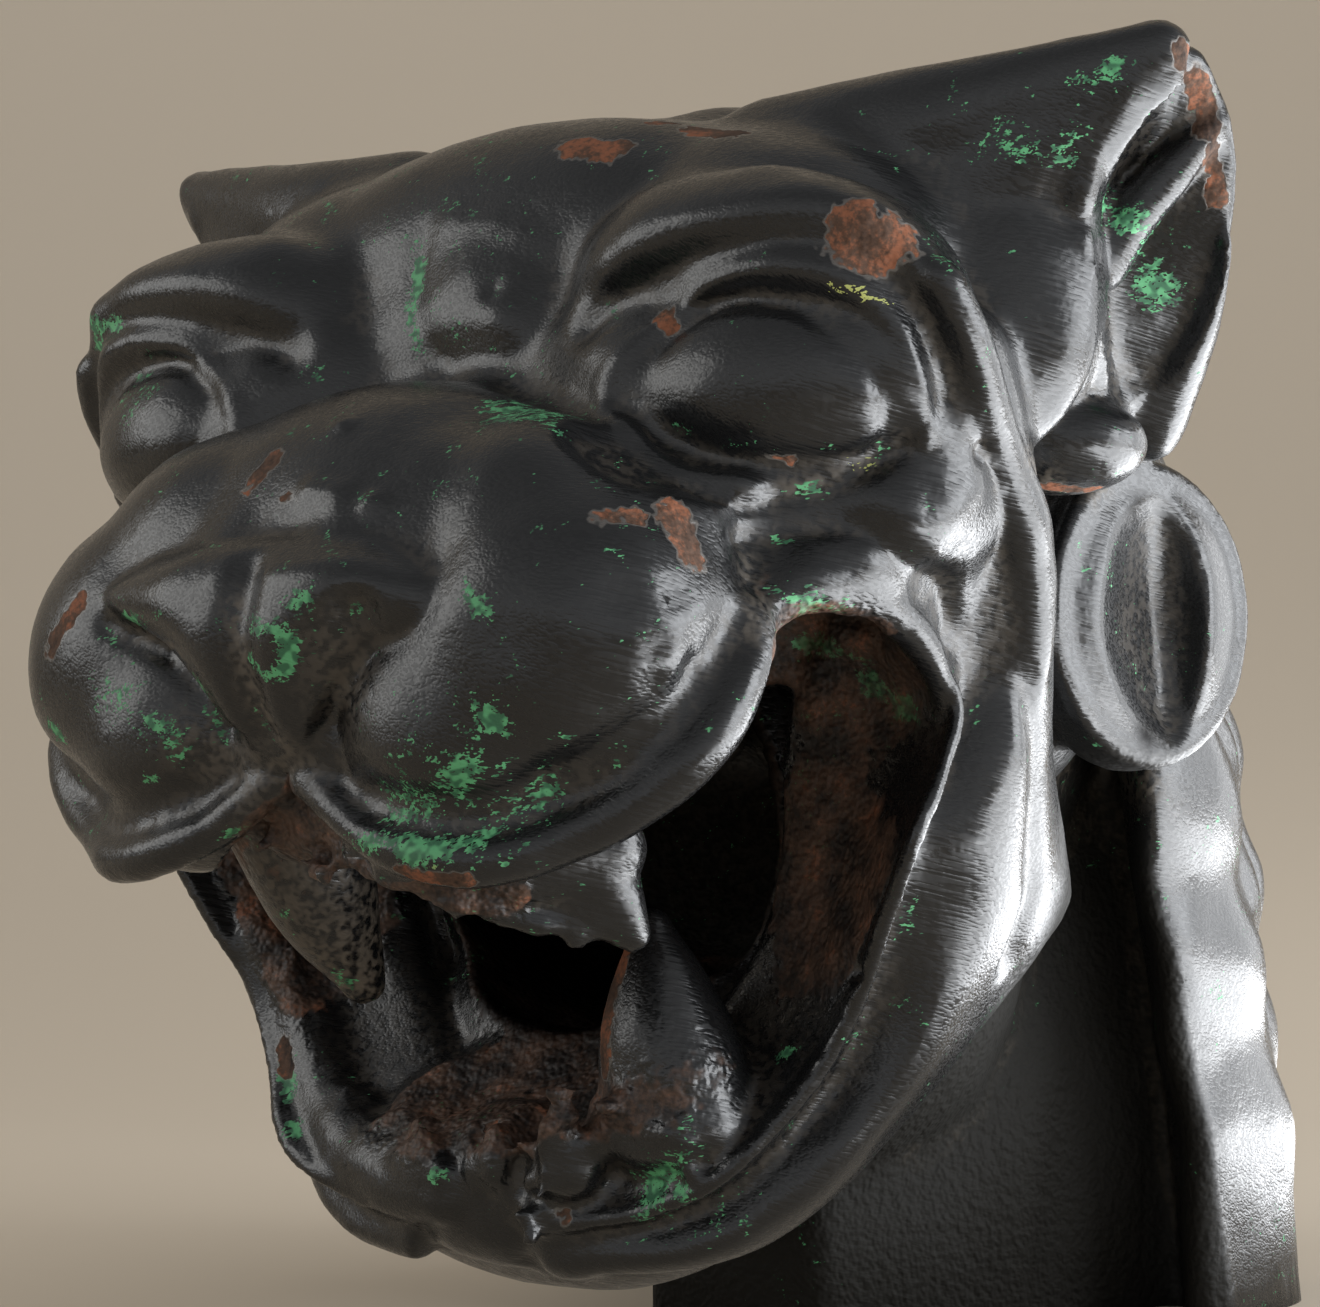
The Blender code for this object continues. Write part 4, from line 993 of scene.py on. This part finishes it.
# Heights are in millimetres.
height = t.math("MULTIPLY", grain, t.math("ADD", 0.12, grainDepth))
height = t.math("ADD", height, t.math("MULTIPLY", brushValue, 0.028))
height = t.math("SUBTRACT", height, t.math("MULTIPLY", rustMask, 0.35))
bump = t.add("ShaderNodeBump", {"Height": height, "Distance": mm, "Strength": 1.0})
# The painted shade in the throat and the slit also loses its sheen, along with the neck side and bare rust.
dull = t.math("MAXIMUM", t.math("MAXIMUM", neckMask, bare), t.math("MULTIPLY", paintedShade, 1.5))
specular = t.add("ShaderNodeMapRange", {0: dull, 1: 0.0, 2: 1.5, 3: 0.5, 4: 0.02})
shown = {"Base Color": color, "Roughness": roughness, "Normal": bump, "Specular IOR Level": specular}
for label, socket in shown.items():
    paint.node_tree.links.new(socket, shader.inputs[label])
casting.data.materials.clear()
casting.data.materials.append(paint)
print("paint mixed")

# The floor, the lights and the camera.

u = np.linspace(-14, 14, 3)
bend = np.linspace(0, np.pi / 2, 40)
profile = np.concatenate([[[-4.0, 0.0]], np.c_[0.5 + 3.5 * np.sin(bend), 3.5 - 3.5 * np.cos(bend)], [[4.0, 9.0]]])
points = np.array([[x, y, z] for x in u for y, z in profile]) / mm
n = len(profile)
i, j = np.meshgrid(np.arange(2), np.arange(n - 1), indexing="ij")
a = (i * n + j).ravel()
floorFaces = np.concatenate([np.c_[a, a + n, a + n + 1], np.c_[a, a + n + 1, a + 1]])
floor = meshOf("floor", (points @ turned((0, 0, viewAngle)).T, floorFaces))
floor.data.shade_smooth()
pale = bpy.data.materials.new("pale floor")
pale.use_nodes = True
pale.node_tree.nodes["Principled BSDF"].inputs["Base Color"].default_value = (0.60, 0.515, 0.405, 1)
pale.node_tree.nodes["Principled BSDF"].inputs["Roughness"].default_value = 0.9
floor.data.materials.append(pale)


# An even rectangle of light; strength is its radiance.
def softBox(name, place, aim, wide, high, strength, colour):
    light = bpy.data.lights.new(name, "AREA")
    light.shape = "RECTANGLE"
    light.size, light.size_y, light.color = wide, high, colour
    light.energy = strength * math.pi * wide * high
    thing = bpy.data.objects.new(name, light)
    bpy.context.scene.collection.objects.link(thing)
    thing.location = place
    thing.rotation_euler = (Vector(aim) - Vector(place)).to_track_quat("-Z", "Y").to_euler()
    thing.visible_camera = False
    return thing


coolWhite = (0.93, 0.96, 1.0)
softBox("window", (1.40, 0.33, 0.38), (0, -0.05, 0.2), 1.1, 0.74, 9.0, coolWhite)
softBox("back window", (0.77, 1.18, 0.38), (0, -0.05, 0.2), 1.1, 0.74, 3.4, coolWhite)
card = softBox("low card", (0.50, 0.24, 0.012), (0.50, 0.24, 1.0), 1.0, 0.72, 11.0, coolWhite)  # lights the jaw
card.rotation_euler = (math.pi, 0, math.radians(120))
front = softBox("front", (-0.87, -0.92, 0.60), (0, -0.1, 0.2), 1.05, 0.8, 1.8, (1.0, 0.99, 0.96))
front.data.shape = "ELLIPSE"
world = bpy.data.worlds.new("room")
bpy.context.scene.world = world
world.use_nodes = True
sky = world.node_tree
skyPlace = sky.nodes.new("ShaderNodeSeparateXYZ")
sky.links.new(sky.nodes.new("ShaderNodeTexCoord").outputs["Generated"], skyPlace.inputs[0])
skyStrength = sky.nodes.new("ShaderNodeMapRange")
for label, value in (("From Min", 0.1), ("From Max", 0.9), ("To Min", 0.85), ("To Max", 0.35)):
    skyStrength.inputs[label].default_value = value
sky.links.new(skyPlace.outputs["Z"], skyStrength.inputs["Value"])
sky.links.new(skyStrength.outputs[0], sky.nodes["Background"].inputs["Strength"])
sky.nodes["Background"].inputs["Color"].default_value = (0.97, 0.98, 1.0, 1)

azimuth, tilt, distance = math.radians(viewAngle), math.radians(-3.22), 0.7858
back = Vector((math.sin(azimuth) * math.cos(tilt), -math.cos(azimuth) * math.cos(tilt), math.sin(tilt)))
right = Vector((math.cos(azimuth), math.sin(azimuth), 0))
camera = bpy.data.objects.new("camera", bpy.data.cameras.new("camera"))
bpy.context.scene.collection.objects.link(camera)
camera.data.lens = 85.72  # fills the frame as in the photo
camera.data.clip_start = 0.05
camera.location = Vector(toRow * mm) + back * distance
camera.rotation_euler = Matrix((right, back.cross(right), back)).transposed().to_euler()
bpy.context.scene.camera = camera
bpy.context.scene.view_settings.view_transform = "Standard"
